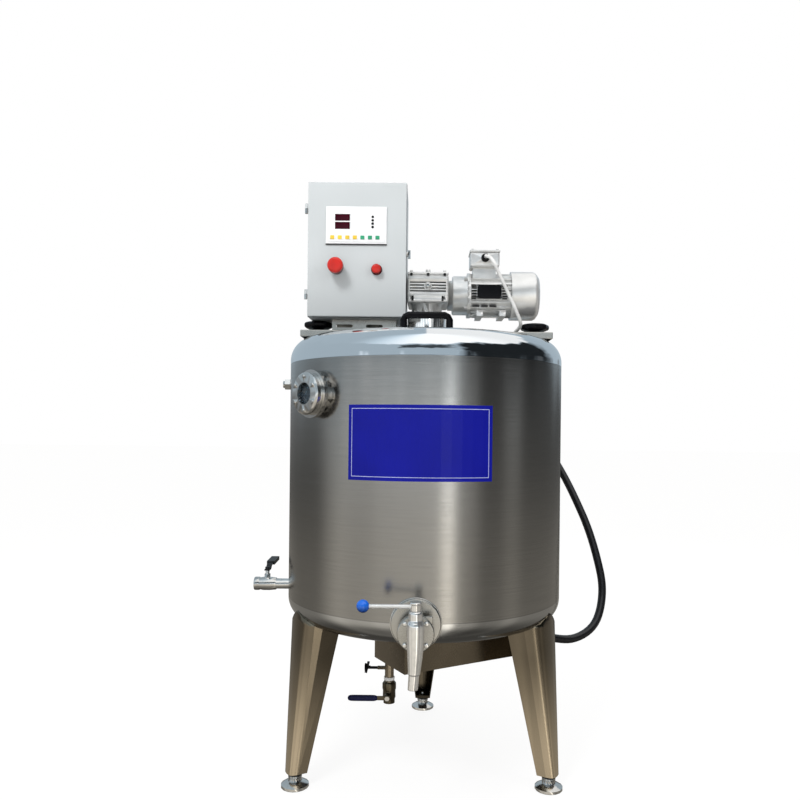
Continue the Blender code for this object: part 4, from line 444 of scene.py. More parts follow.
def leg_sheet(name):
    """Leg sheet with a grain along the leg; painted light pales it towards the foot, painted shade darkens
    the leg at the back.
    """
    colour = chosen("leg")
    finish = Finish(name, Metallic=1.0)
    grain = finish.noise(260.0, (6, 6, 0.6), 3.0, 0.6)
    cloud = finish.noise(7.0, (1, 1, 0.6), 3.0, 0.55)
    tone = finish.blend(grain.rise(0.4, 0.75) * 0.3, finish.cloudy(cloud, colour, 0.20), shade(colour, 0.70))
    # Painted light: the sheet is paler towards the foot
    tone = finish.blend(1.0 - finish.z.rise(0.03, 0.36), tone, shade(colour, 4.2))
    # Painted shade: the leg at the back is darker
    rear_shade = finish.y.rise(float(AXIS[1]) + 0.14, float(AXIS[1]) + 0.20)
    tone = finish.blend(rear_shade, tone, shade(colour, 0.45))
    finish.bump(grain, 0.12)
    return finish.feed(tone, 0.15 + cloud * 0.10 + grain * 0.05)


def cast_metal(name):
    """Cast light alloy under a thin silver coat: fine pebble, darker hollows."""
    finish = Finish(name, Metallic=0.62, Specular_IOR_Level=0.5)
    pebble = finish.noise(520.0, (1, 1, 1), 3.0, 0.65)
    cloud = finish.noise(22.0, (1, 1, 1), 3.0)
    tone = finish.blend(cloud.rise(0.25, 0.75), (0.70, 0.70, 0.69), (0.84, 0.84, 0.83))
    tone = finish.blend(pebble.rise(0.55, 0.8) * 0.35, tone, (0.50, 0.50, 0.49))
    finish.bump(pebble, 0.35, 0.0005)
    return finish.feed(tone, 0.24 + pebble * 0.12)


def box_coat(name):
    """Powder coat with a faint orange peel, and painted shade that darkens it towards the box's foot."""
    colour = chosen("box")
    finish = Finish(name, Specular_IOR_Level=0.4)
    peel = finish.noise(420.0)
    tone = finish.cloudy(finish.noise(5.0), colour, 0.03)
    # Painted shade: the coat grows darker towards the box's foot
    tone = finish.blend(finish.z.rise(1.08, 1.30), shade(colour, 0.72), tone)
    finish.bump(peel, 0.10)
    return finish.feed(tone, 0.36 + peel * 0.08)


def moulded(name, colour, rough, pebble_size=600.0, depth=0.08, level=0.5, tone_spread=0.15):
    """Moulded plastic or rubber: small tone changes, a fine skin and uneven gloss."""
    finish = Finish(name, Specular_IOR_Level=level)
    skin = finish.noise(pebble_size)
    cloud = finish.noise(30.0)
    tone = finish.cloudy(cloud, chosen(colour), tone_spread)
    finish.bump(skin, depth)
    return finish.feed(tone, rough + cloud * 0.08)


def ball_blue(name):
    """Glossy blue ball with painted shade on its under side and a painted highlight towards its top."""
    colour = chosen("ball")
    low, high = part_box("outlet_ball_knob")
    finish = Finish(name, Specular_IOR_Level=0.6)
    cloud = finish.noise(30.0)
    # Painted shade at the bottom, painted highlight at the top
    tone = finish.blend(finish.z.rise(low[2], high[2] - 0.004), shade(colour, 0.25), shade(colour, 1.25))
    return finish.feed(tone, 0.08 + cloud * 0.05)


def clear_glass(name):
    """Thick sight glass, faintly blue, with the dark inside showing through."""
    finish = Finish(name, Transmission_Weight=0.85, IOR=1.47)
    haze = finish.noise(40.0)
    tone = finish.blend(haze.rise(0.3, 0.7), (0.13, 0.19, 0.25), (0.22, 0.30, 0.36))
    return finish.feed(tone, 0.03 + haze * 0.05)


def blue_film(name):
    """Blue film with one pale border line, set by the arc length round the tank and the height."""
    finish = Finish(name, Specular_IOR_Level=0.15)
    angle = (finish.x - float(AXIS[0])).turn_of(float(AXIS[1]) - finish.y)
    left, right, low, high = -29.1, 24.9, 0.745, 0.912
    run = (angle - math.radians((left + right) / 2)) * TANK_RADIUS
    half_run = math.radians(right - left) / 2 * TANK_RADIUS
    inset = 0.0085
    across = abs(run) - (half_run - inset)
    up = abs(finish.z - (low + high) / 2) - ((high - low) / 2 - inset)
    line = 1.0 - abs(across.at_least(up)).rise(0.0003, 0.0009)
    cloud = finish.noise(6.0)
    tone = finish.blend(line * 0.75, finish.cloudy(cloud, chosen("film"), 0.08), (0.55, 0.60, 0.85))
    finish.bump(finish.noise(90.0), 0.05)
    return finish.feed(tone, 0.20 + cloud * 0.10)


# Each look: the function that makes it, its values, the frame's slot, and the nodes that wear it
LOOKS = {
    "sheet_steel": (sheet_steel, {}, "brushed", []),
    "satin_steel": (steel, dict(colour=(0.46, 0.45, 0.42), rough=0.20, stretch=(1, 1, 6)), "brushed",
                    ["inner_vessel", "water_jacket", "heating_element", "top_beam", "box_bracket"]),
    "polished_steel": (steel, dict(colour=(0.84, 0.83, 0.81), rough=0.05, spread=0.08, wear=0.08,
                                   grain_scale=80.0), "chrome", ["drive_neck"]),
    "spout_steel": (steel, dict(colour=(0.88, 0.87, 0.85), rough=0.07, spread=0.08, wear=0.05,
                                grain_scale=80.0, metal=0.87), "chrome", []),
    "shaft_steel": (steel, dict(colour=(0.52, 0.51, 0.49), rough=0.16, stretch=(1, 1, 8)), "brushed",
                    ["agitator_shaft", "agitator_paddles", "rotor_shaft"]),
    "mirror_steel": (steel, dict(colour=(0.78, 0.80, 0.82), rough=0.02, spread=0.06, wear=0.03,
                                 grain_scale=40.0), "mirror", ["front_lid", "rear_lid"]),
    "leg_sheet": (leg_sheet, {}, "leg_steel", ["leg_front_left", "leg_front_right", "leg_rear"]),
    "dark_steel": (steel, dict(colour=(0.105, 0.088, 0.060), rough=0.22, wear=0.45), "leg_steel",
                   ["drain_valve_body"]),
    "box_steel": (steel, dict(colour=(0.28, 0.235, 0.175), rough=0.20, stretch=(6, 6, 1)), "leg_steel",
                  ["heater_box", "drain_pipe"]),
    "bright_steel": (steel, dict(colour=(0.66, 0.65, 0.63), rough=0.09, spread=0.12, wear=0.14,
                                 grain_scale=120.0), "chrome",
                     ["foot_front_left", "foot_front_right", "foot_rear", "sight_port", "sight_ring",
                      "overflow_fitting", "temperature_probe", "door_hinge_upper", "door_hinge_lower",
                      "door_lock", "inlet_valve_body"]),
    "cast_metal": (cast_metal, {}, "cast", ["gearbox_housing", "gearbox_cover", "motor_flange", "motor_body",
                                            "fan_cowl", "terminal_box", "terminal_box_cover"]),
    "box_coat": (box_coat, {}, "box_paint", ["control_box", "control_door"]),
    "black_gloss": (moulded, dict(colour=(0.004, 0.004, 0.005), rough=0.20, level=0.13), "black",
                    ["lid_handle", "fan", "petcock_handle", "conduit_gland"]),
    "black_rubber": (moulded, dict(colour=(0.009, 0.009, 0.010), rough=0.42, depth=0.25, level=0.3),
                     "rubber", ["inlet_valve_lever"]),
    "conduit_jacket": (moulded, dict(colour=(0.008, 0.008, 0.010), rough=0.30, pebble_size=340.0,
                                     depth=0.5), "rubber", []),
    "white_cable": (moulded, dict(colour=(0.72, 0.72, 0.71), rough=0.38), "white", []),
    "thread_white": (moulded, dict(colour=(0.80, 0.80, 0.78), rough=0.55, pebble_size=300.0,
                                   depth=0.5), "white", []),
    "blue_film": (blue_film, {}, "blue_panel", ["blue_panel"]),
    "ball_blue": (ball_blue, {}, "blue_ball", ["outlet_ball_knob"]),
    "navy_sleeve": (moulded, dict(colour=(0.006, 0.007, 0.045), rough=0.30, depth=0.2, level=0.2),
                    "navy", []),
    "signal_red": (moulded, dict(colour="signal", rough=0.24), "red", ["power_button"]),
    # A darker copy of the heads' red, worn by the collars and by the stop head's side wall, where it is
    # painted shade
    "dark_red": (moulded, dict(colour=(0.085, 0.004, 0.005), rough=0.30, level=0.3), "red",
                 ["e_stop_collar", "power_collar"]),
    "screen_glass": (moulded, dict(colour=(0.040, 0.002, 0.008), rough=0.10, level=0.2), "red", []),
    "key_yellow": (moulded, dict(colour=(0.86, 0.60, 0.06), rough=0.40), "white", []),
    "key_green": (moulded, dict(colour=(0.03, 0.33, 0.17), rough=0.40), "white", []),
    "wool": (moulded, dict(colour=(0.66, 0.58, 0.34), rough=0.90, pebble_size=200.0, depth=1.0),
             "wool", ["insulation"]),
    "panel_white": (moulded, dict(colour=(0.84, 0.85, 0.86), rough=0.28, level=0.3,
                                  tone_spread=0.02), "white", ["display_panel"]),
    "clear_glass": (clear_glass, {}, "glass", ["sight_glass"]),
    "bronze": (steel, dict(colour=(0.55, 0.34, 0.13), rough=0.26), "bronze", ["worm_wheel"]),
}
# Nodes that keep their own mesh; the others are shown as a welded copy with smooth shading
FLAT = ["heating_element", "top_beam", "box_bracket", "rotor_shaft", "heater_box", "control_box",
        "control_door", "fan", "insulation", "display_panel", "sight_glass", "worm_wheel"]


def colour_property(name, description, default):
    return bpy.props.FloatVectorProperty(name=name, description=description, subtype="COLOR", size=3, min=0,
                                         max=1, default=default)


def length_property(name, description, low, high, default):
    return bpy.props.FloatProperty(name=name, description=description, unit="LENGTH", min=low, max=high,
                                   default=default)


class VatColours(bpy.types.PropertyGroup):
    """The colours that give the vat its look."""

    satin: colour_property("Satin sheet", "Colour of the brushed body sheet", (0.345, 0.338, 0.325))
    bright: colour_property("Polished sheet", "Colour of the polished shoulder", (0.74, 0.76, 0.78))
    leg: colour_property("Legs", "Colour of the leg sheet", (0.190, 0.160, 0.118))
    box: colour_property("Control box", "Colour of the powder coat", (0.548, 0.580, 0.592))
    film: colour_property("Front panel", "Colour of the blue film", (0.0035, 0.006, 0.235))
    signal: colour_property("Push heads", "Colour of the two red heads", (0.50, 0.016, 0.010))
    ball: colour_property("Lever ball", "Colour of the outlet lever's ball", (0.008, 0.105, 0.52))


class VatSizes(bpy.types.PropertyGroup):
    """The few sizes of the dressing that are not the frame's."""

    conduit_radius: length_property("Conduit radius", "Half the conduit's width", 0.004, 0.02, 0.011)
    cable_radius: length_property("Cable radius", "Half the motor cable's width", 0.002, 0.01, 0.0045)
    weld_radius: length_property("Weld bead", "Half the width of a weld bead", 0.0005, 0.004, 0.0016)


class VatOperator:
    """What the operators share."""

    bl_options = {"REGISTER", "UNDO"}


class VAT_OT_camera(VatOperator, bpy.types.Operator):
    """Set the camera at the picture's place and lens"""

    bl_idname = "vat.camera"
    bl_label = "Camera"

    def execute(self, context):
        lens = bpy.data.cameras.new("front_camera")
        lens.sensor_width = SENSOR
        lens.lens = FOCAL * SENSOR / PICTURE
        lens.shift_x = SHIFT[0] / PICTURE
        lens.shift_y = SHIFT[1] / PICTURE
        camera = bpy.data.objects.new("front_camera", lens)
        camera.location = AXIS + np.array(EYE)
        camera.rotation_euler = (math.pi / 2, EYE_TILT, 0)
        context.scene.collection.objects.link(camera)
        context.scene.camera = camera
        return {"FINISHED"}


class VAT_OT_cords(VatOperator, bpy.types.Operator):
    """Run the motor cable and the black conduit along their routes"""

    bl_idname = "vat.cords"
    bl_label = "Cable and conduit"

    def execute(self, context):
        sizes = context.scene.vat_sizes
        face, start = BOX_BACK, -0.0223
        cable = [(GLAND[0], start, GLAND[2]), (GLAND[0], start - 0.012, GLAND[2]), (0.166, -0.050, 1.296),
                 (0.183, -0.050, 1.262), (0.206, -0.042, 1.217), (0.232, -0.036, 1.163),
                 (0.2440, -0.026, 1.1335), (0.2360, 0.004, 1.1190), (0.2280, 0.050, 1.1150),
                 (0.1980, 0.110, 1.1090), (0.1300, 0.150, 1.1060), (0.0300, 0.170, 1.1110),
                 (-0.0600, 0.160, 1.1250), (-0.095, 0.138, 1.163), (-0.105, face + 0.014, 1.185),
                 (-0.105, face, 1.185)]
        obj, route = hose("white_motor_cable", cable, sizes.cable_radius, "white_cable",
                          1.6 * sizes.cable_radius, 16)
        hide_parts("motor_cable")
        self.declare(obj, route, sizes.cable_radius, "limp")
        # The heater box lies turned under the tank, and the conduit ends square to its side
        turn = math.radians(29.9)
        along = np.array([math.cos(turn), math.sin(turn)])
        across = np.array([-math.sin(turn), math.cos(turn)])
        near = np.array([-0.0422, -0.2520]) + across * 0.078
        end = near + along * (0.310 + 0.0243)
        before = near + along * (0.310 + 0.054)
        conduit = [(-0.205, face, 1.185), (-0.205, face + 0.030, 1.185), (-0.150, 0.260, 1.192),
                   (0.050, 0.420, 1.120), (0.240, 0.4383, 0.960), (0.385, 0.360, 0.790),
                   (0.470, 0.270, 0.610), (0.5066, 0.210, 0.470), (0.5104, 0.180, 0.385),
                   (0.480, 0.140, 0.315), (0.415, 0.105, 0.284), (0.330, 0.062, 0.300), (*before, 0.340),
                   (*end, 0.340)]
        obj, route = hose("black_conduit", conduit, sizes.conduit_radius, "conduit_jacket",
                          1.2 * sizes.conduit_radius, 24)
        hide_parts("power_conduit")
        self.declare(obj, route, sizes.conduit_radius, "stiff")
        return {"FINISHED"}

    def declare(self, obj, route, radius, stiffness):
        """Takes a cord's piece, route, radius and stiffness, and does nothing."""


class VAT_OT_finishes(VatOperator, bpy.types.Operator):
    """Give every node that still shows its finish; all but the flat ones are shown as a smooth copy"""

    bl_idname = "vat.finishes"
    bl_label = "Finishes"

    def execute(self, context):
        groups = frame["record"]["behaviour"]["bodies"]
        owners = {node: body for body, group in groups.items() for node in group}
        for look, (_, _, _, nodes) in LOOKS.items():
            for node in nodes:
                obj = bpy.data.objects[node]
                if obj.hide_render:
                    continue
                if node in FLAT:
                    self.painted(obj, made_finish(look))
                else:
                    self.copied(node, look, owners[node])
        return {"FINISHED"}

    def painted(self, obj, material):
        """Put one material on the whole object."""
        for slot in obj.material_slots:
            slot.material = material
        if not obj.material_slots:
            obj.data.materials.append(material)

    def copied(self, node, look, body):
        """A copy of the node's mesh with even shading; the motor's pads and the lid's handle are trimmed."""
        mesh = bpy.data.objects[node].data.copy()
        mesh.name = node + "_skin"
        mesh.materials.clear()
        if node == "motor_body":
            reshaped(mesh, self.trim_pads)
        if node == "lid_handle":
            reshaped(mesh, self.lower_grip)
        piece = finished(node + "_skin", mesh, look, body, 28.0)
        even = piece.modifiers.new("even_shading", "WEIGHTED_NORMAL")
        even.keep_sharp = True
        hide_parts(node)

    def trim_pads(self, places):
        """Raise what hangs below the fins to their lower edge."""
        places[:, 2] = np.maximum(places[:, 2], MOTOR_AXIS[1] - FIN_DROP)

    def lower_grip(self, places):
        """Lower the handle's upper half."""
        places[:, 2] -= GRIP_DROP * (places[:, 2] > places[:, 2].mean())


class VAT_OT_shell(VatOperator, bpy.types.Operator):
    """Turn the smooth outer skin with its polished shoulder and knuckle"""

    bl_idname = "vat.shell"
    bl_label = "Outer skin"

    def execute(self, context):
        top = (TANK_RADIUS - SHOULDER, TANK_TOP - SHOULDER)
        foot = (TANK_RADIUS - KNUCKLE, TANK_BOTTOM + KNUCKLE)
        high = arc(SHOULDER, top, 90, 0, 20)
        low = arc(KNUCKLE, foot, 0, -90, 16)
        low_in = arc(KNUCKLE - SKIN, foot, -90, 0, 10)
        high_in = arc(SHOULDER - SKIN, top, 0, 90, 10)
        wall = np.array([[TANK_RADIUS, z] for z in np.linspace(1.0, 0.46, 10)])
        profile = np.vstack([[(MOUTH_RADIUS, TANK_TOP)], high, wall, low,
                             [(0, TANK_BOTTOM), (0, TANK_BOTTOM + SKIN)],
                             low_in, high_in, [(MOUTH_RADIUS, TANK_TOP - SKIN)]])
        skin = turned("outer_skin", profile, "sheet_steel", "tank", segments=240, round_by=0, closed=True)
        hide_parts("outer_shell")
        return {"FINISHED"}


class VAT_OT_panel(VatOperator, bpy.types.Operator):
    """Put keys, windows, lamps and a rule on the display panel, a painted shadow strip under it, and painted
    gap shade round the door
    """

    bl_idname = "vat.panel"
    bl_label = "Display"

    def execute(self, context):
        x, z = SCREEN
        x -= 0.0035
        front = DOOR_FACE - 0.0033
        pitch, first, half = 0.0188, 0.056, 0.0053
        keys = [((x - first + pitch * i - half, front - 0.0030, z - 0.0357),
                 (x - first + pitch * i + half, front - 0.0006, z - 0.0263)) for i in range(7)]
        blocks("yellow_keys", keys[:4], "key_yellow", "door", 0.0016)
        blocks("green_keys", keys[4:], "key_green", "door", 0.0016)
        screens = [((x - 0.0495, front - 0.0017, z + low), (x - 0.0130, front - 0.0002, z + high))
                   for low, high in ((0.0104, 0.0271), (-0.0102, 0.0074))]
        blocks("number_windows", screens, "screen_glass", "door", 0.0004)
        lamps = [(x + 0.0444, front - 0.0012, z + up) for up in (0.0206, 0.0121, 0.0038, -0.0047)]
        row("lamp_dot", [(0, 0.0016), (0.0024, 0.0014), (0.0033, 0.0006), (0.0033, -0.0008), (0, -0.0008)],
            "black_gloss", "door", lamps, 24, 0.0003)
        rule = ((x - 0.0625, front - 0.00135, z - 0.0186), (x + 0.0695, front - 0.0011, z - 0.0181))
        blocks("panel_rule", [rule], "cast_metal", "door", 0.0001)
        # A dark strip under the panel: painted shadow
        under_panel_shade = ((x - 0.0730, DOOR_FACE - 0.0038, z - 0.0489), (x + 0.0800, DOOR_FACE - 0.0002, z - 0.0471))
        blocks("panel_lip", [under_panel_shade], "black_rubber", "door", 0.0006)
        # Dark strips just behind the door's edges: painted shade of the gap between door and box
        low, high = placed_box("control_box")
        front, back = low[1] - 0.0012, low[1]
        high[2] -= 0.0008
        out, thick = 0.0007, 0.0016
        sides = [((low[0] - out, front, low[2] - out), (low[0] + thick, back, high[2] + out)),
                 ((high[0] - thick, front, low[2] - out), (high[0] + out, back, high[2] + out)),
                 ((low[0] - out, front, high[2] - thick), (high[0] + out, back, high[2] + out)),
                 ((low[0] - out, front, low[2] - out), (high[0] + out, back, low[2] + thick))]
        blocks("door_gasket", sides, "black_rubber", "door", 0.0004)
        return {"FINISHED"}


class VAT_OT_hand_pieces(VatOperator, bpy.types.Operator):
    """Shape the two lobed hand knobs and the deep head of the stop button, its side wall dark red as painted
    shade
    """

    bl_idname = "vat.hand_pieces"
    bl_label = "Knobs and stop head"

    def execute(self, context):
        for side in ("left", "right"):
            self.lobed("knob_" + side, "hand_knob_" + side)
        low, high = placed_box("e_stop_button")
        middle = (low + high) / 2
        centre = (middle[0], 0, middle[2])
        head = turned("stop_face", [
            (0, 0.1466), (0.0130, 0.1462), (0.0178, 0.1440), (0.0195, 0.1400), (0.0195, 0.1365),
            (0.0100, 0.1365), (0.0100, 0.1200), (0.0080, 0.1180), (0.0080, 0.0700), (0, 0.0700)],
            "signal_red", "stop_head", centre, FRONT, 80, 0.0015)
        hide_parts("e_stop_button")
        # The head's side wall in a darker red: painted shade
        turned("stop_skirt", [
            (0.0090, 0.1370), (0.0190, 0.1370), (0.0193, 0.1290), (0.0190, 0.1185), (0.0180, 0.1175),
            (0.0090, 0.1175), (0.0090, 0.1370)], "dark_red", "stop_head", centre, FRONT, 80, 0.0008)
        return {"FINISHED"}

    def lobed(self, node, body):
        """Seven lobes: radius times 1 - share * (1 - cos 7 angle), with a share that grows outwards."""
        low, high = (np.array(corner, dtype=float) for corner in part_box(node))
        middle, top, lobes = (low + high) / 2, high[2], 7
        outline = softened([
            (0, top), (0.0290, top), (0.0368, top - 0.0030), (0.0385, top - 0.0085), (0.0368, top - 0.0145),
            (0.0260, top - 0.0190), (0.0165, top - 0.0205), (0.0150, top - 0.0309), (0.0052, top - 0.0309),
            (0.0050, low[2]), (0, low[2])], 0.003)
        radius, height = outline[:, :1], outline[:, 1:]
        angle = np.linspace(0, math.tau, 140, endpoint=False)[None, :]
        share = 0.035 * np.clip((radius - 0.018) / 0.016, 0, 1) ** 2
        rim = radius * (1 - share * (1 - np.cos(lobes * angle)))
        points = np.stack([middle[0] + rim * np.cos(angle), middle[1] + rim * np.sin(angle),
                           np.broadcast_to(height, rim.shape)], axis=-1)
        knob = grid_object(node + "_lobed", points, "black_gloss", body, closed_v=True, sharp=40.0)
        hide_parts(node)


class VAT_OT_outlet(VatOperator, bpy.types.Operator):
    """Turn the outlet's spout, arm, neck, flange, bolts and pad, its plug and the lever's rod"""

    bl_idname = "vat.outlet"
    bl_label = "Outlet"

    def execute(self, context):
        x, y, z = OUTLET
        end = SPOUT_END
        spout = turned("spout_turned", [
            (0, z + 0.047), (0.0143, z + 0.047), (0.0145, z + 0.027), (0.0182, z + 0.020),
            (0.0189, z + 0.008), (0.0187, z - 0.008), (0.0176, z - 0.028), (0.0156, z - 0.052),
            (0.0130, z - 0.078), (0.0128, z - 0.083), (0.0112, z - 0.085), (0.0106, end + 0.001),
            (0.0100, end), (0.0090, end + 0.001), (0.0090, end + 0.03), (0, end + 0.03)],
            "spout_steel", "tank", (x, y, 0), UP, 64, 0.006, sharp=40.0)
        reshaped(spout.data, self.lean)
        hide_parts("outlet_body")
        self.plug(x, y)
        arm = (x, 0, z)
        turned("outlet_arm_turned", [(0.0165, 0.372), (0.0165, 0.416)],
               "spout_steel", "tank", arm, FRONT, 48, 0)
        turned("outlet_neck_turned", [(0.026, 0.352), (0.026, 0.380)],
               "satin_steel", "tank", arm, FRONT, 64, 0)
        turned("outlet_pad_turned", [
            (0, 0.3505), (0.0535, 0.3505), (0.055, 0.3520), (0.055, 0.3560), (0.053, 0.3580), (0, 0.3580)],
            "satin_steel", "tank", arm, FRONT, 96, 0.0015)
        low = z - 0.011
        turned("outlet_flange_turned", [
            (0, 0.3780), (0.0385, 0.3780), (0.040, 0.3795), (0.040, 0.3945), (0.038, 0.3960), (0, 0.3960)],
            "satin_steel", "tank", (x, 0, low), FRONT, 80, 0.0015)
        corners = [(x + 0.0228 * along, 0, low + 0.0228 * up) for along in (-1, 1) for up in (-1, 1)]
        row("outlet_bolt", [(0, 0.3955), (0.0052, 0.3955), (0.0052, 0.4000), (0.0042, 0.4015), (0, 0.4020)],
            "polished_steel", "tank", corners, 24, 0.0006)
        blocks("outlet_stop", [((x + 0.020, -0.392, z + 0.010), (x + 0.036, -0.383, z + 0.026))],
               "satin_steel", "tank", 0.0015)
        turned("pad_weld", bead(0.0014, 0.0555, TANK_RADIUS + 0.0006, 15),
               "bright_steel", "tank", arm, FRONT, 96, 0)
        return {"FINISHED"}

    def lean(self, places):
        """Lean the spout's lower part to the left, by a reach times the square of the way down."""
        start, reach = OUTLET[2] - 0.01, 0.0045
        way = np.clip((start - places[:, 2]) / (start - SPOUT_END), 0, 1)
        places[:, 0] -= reach * way ** 2

    def plug(self, x, y):
        """The turned plug with its flat cap, and the lever's rod out to the ball."""
        seat = OUTLET[2] + 0.0473
        low, high = placed_box("outlet_ball_knob")
        ball = (low + high) / 2
        top = float(ball[2]) + 0.0105
        cap = turned("plug_turned", [
            (0, top), (0.0112, top - 0.0004), (0.0128, top - 0.0018), (0.0128, top - 0.0050),
            (0.0114, top - 0.0062), (0.0114, seat), (0, seat)],
            "spout_steel", "outlet_lever", (x, y, 0), UP, 64, 0.0010)
        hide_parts("outlet_plug")
        long = x - ball[0]
        turned("lever_rod", [(0, 0), (0.0044, 0.0008), (0.0044, long), (0, long)],
               "cast_metal", "outlet_lever", (ball[0], y, ball[2]), (1, 0, 0), 32, 0.0006)


class VAT_OT_drive(VatOperator, bpy.types.Operator):
    """Put dark blocks in the drive's grooves, slots and fin gaps as painted shade, and add its ribs, plug,
    screws and bare plate
    """

    bl_idname = "vat.drive"
    bl_label = "Drive details"

    def execute(self, context):
        base, front = GEAR_BASE, GEAR_FRONT
        # Dark blocks in the gearbox's grooves and slots: painted shade in the recesses
        groove_shades = [((-0.0435, front + 0.0012, low + 0.0002), (0.0485, front + 0.0046, low + 0.0033))
                   for low in (base + 0.026 + 0.0075 * i for i in range(4))]
        slot_shades = [((x - 0.0026, front - 0.0004, base + 0.0025), (x + 0.0026, front + 0.0010, base + 0.0160))
                 for x in (-0.0365, 0.0400)]
        ribs = [((-0.0490, front - 0.0012, low), (0.0540, front + 0.0008, low + 0.0030))
                for low in (base + 0.0180, base + 0.0585)]
        blocks("gear_grooves", groove_shades, "black_rubber", "tank", 0.0003)
        blocks("gear_slots", slot_shades, "black_rubber", "tank", 0.0005)
        blocks("gear_ribs", ribs, "cast_metal", "tank", 0.0009)
        plug = (0.0025, front, base + 0.040)
        turned("plug_ring", bead(0.0013, 0.0092, 0.0008, 15), "cast_metal", "tank", plug, FRONT, 48, 0)
        turned("plug_face", [(0, 0.0014), (0.0080, 0.0014), (0.0088, 0.0004), (0.0088, -0.0010)],
               "cast_metal", "tank", plug, FRONT, 48, 0.0003)
        turned("plug_hex", [(0, 0.0118), (0.0046, 0.0114), (0.0050, 0.0104), (0.0050, 0)],
               "bright_steel", "tank", plug, FRONT, 6, 0.0003)
        screws = [(x, front, base + 0.0705) for x in (-0.040, 0.0025, 0.045)]
        row("gear_screw", [(0, 0.0030), (0.0030, 0.0030), (0.0036, 0.0022), (0.0036, 0)],
            "black_rubber", "tank", screws, 24, 0.0004)
        self.motor()
        return {"FINISHED"}

    def motor(self):
        """Dark blocks between the fins as painted shade, whose depth follows the round body, and the riveted
        plate.
        """
        y, z = MOTOR_AXIS
        fin_shades = []
        for i in range(6):
            up = -0.0170 + 0.0066 * i
            for left, right in ((0.1170, 0.1300), (0.1975, 0.2110)):
                fin_shades.append(self.gap(left, right, up, up + 0.0028, up + 0.0014))
        for x in (0.1200, 0.1425, 0.1650):
            fin_shades.append(self.gap(x, x + 0.0185, -0.0345, -0.0325, 0.0330))
        # Dark blocks between the fins: painted shade
        blocks("motor_gaps", fin_shades, "black_rubber", "tank", 0.0003)
        plate = ((0.1320, y - 0.0618, z - 0.0170), (0.1950, y - 0.0590, z + 0.0200))
        blocks("bare_plate", [plate], "black_gloss", "tank", 0.0006)
        rivets = [(x, y - 0.0618, z + up) for x in (0.1340, 0.1930) for up in (-0.0150, 0.0180)]
        row("plate_rivet", [(0, 0.0006), (0.0008, 0.0005), (0.0011, 0)],
            "bright_steel", "tank", rivets, 16, 0)

    def gap(self, left, right, low, high, up):
        """A block of painted shade that starts where the fins' circle is at the height up over the motor's
        axis.
        """
        y, z = MOTOR_AXIS
        depth = y - math.sqrt(FIN_REACH ** 2 - up ** 2)
        return (left, depth, z + low), (right, depth + 0.006, z + high)


class VAT_OT_valve_grip(VatOperator, bpy.types.Operator):
    """Make the drain lever's steel blade and its dipped sleeve with round ends, and the petcock's grip"""

    bl_idname = "vat.valve_grip"
    bl_label = "Drain lever"

    def execute(self, context):
        x, y, z = DRAIN_PIVOT
        blade = blocks("drain_blade", [((x - 0.040, y - 0.003, z - 0.0055), (x + 0.008, y, z + 0.0055))],
                       "dark_steel", "drain_lever", 0.0012)
        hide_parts("drain_valve_lever")
        low, high = placed_box("petcock_handle")
        middle = (low + high) / 2
        turned("petcock_grip", [
            (0, 0), (0.0036, 0), (0.0046, 0.0060), (0.0098, 0.0116), (0.0104, 0.0136), (0.0090, 0.0150),
            (0, 0.0152)], "black_gloss", "petcock", (low[0] + 0.0152, middle[1], middle[2]), (-1, 0, 0),
            40, 0.0008)
        # The sleeve: an oval tube that narrows at both ends by the ninth power of the way out
        t = np.linspace(0, math.tau, 40, endpoint=False)
        along = np.linspace(0, 1, 33)[:, None]
        blunt = np.sqrt(np.maximum(0.0, 1 - np.abs(2 * along - 1) ** 9))
        sleeve = np.stack([np.broadcast_to(x - 0.100 + 0.077 * along, (33, 40)),
                           y - 0.0015 + 0.0049 * blunt * np.sin(t),
                           z + 0.0078 * blunt * np.cos(t)], axis=-1)
        grid_object("drain_sleeve", AXIS + sleeve, "navy_sleeve", "drain_lever", closed_v=True, sharp=60.0)
        turned("drain_lever_nut", [(0, -0.0042), (0.0064, -0.0042), (0.0064, 0.0028), (0, 0.0028)],
               "bright_steel", "drain_lever", (x, y - 0.0046, z), FRONT, 6, 0)
        return {"FINISHED"}


class VAT_OT_details(VatOperator, bpy.types.Operator):
    """Add weld beads, the thread ring, the feet's washers and the cable gland's cap"""

    bl_idname = "vat.details"
    bl_label = "Small pieces"

    def execute(self, context):
        width = context.scene.vat_sizes.weld_radius
        for name, distance, height in SIDE_WELDS:
            turned(name, bead(width, distance), "bright_steel", "tank", (-TANK_RADIUS - 0.0005, 0, height),
                   (-1, 0, 0), 48, 0)
        turned("drain_weld", bead(width, 0.0122), "bright_steel", "tank", (*DRAIN, TANK_BOTTOM - 0.0006),
               (0, 0, -1), 48, 0)
        turned("thread_ring", [
            (0.0116, -0.004), (0.0136, -0.004), (0.0139, 0), (0.0136, 0.004), (0.0116, 0.004)],
               "thread_white", "tank", (*DRAIN, 0.2205), UP, 48, 0.0008)
        for name, turn in (("foot_fl", -60.0), ("foot_fr", 60.0), ("foot_r", 180.0)):
            out = np.array([math.sin(math.radians(turn)), -math.cos(math.radians(turn)), 0]) * FOOT_DISTANCE
            turned(name + "_washer", [
                (0.0110, 0.0292), (0.0172, 0.0292), (0.0174, 0.0320), (0.0170, 0.0346), (0.0110, 0.0346)],
                "black_rubber", name, out, UP, 48, 0.0006)
        turned("cable_gland_cap", [
            (0.0075, 0.0065), (0.0106, 0.0065), (0.0108, 0.0100), (0.0106, 0.0166), (0.0084, 0.0172),
            (0.0082, 0.0250), (0.0050, 0.0258)], "black_gloss", "tank", GLAND, FRONT, 40, 0.0006)
        return {"FINISHED"}


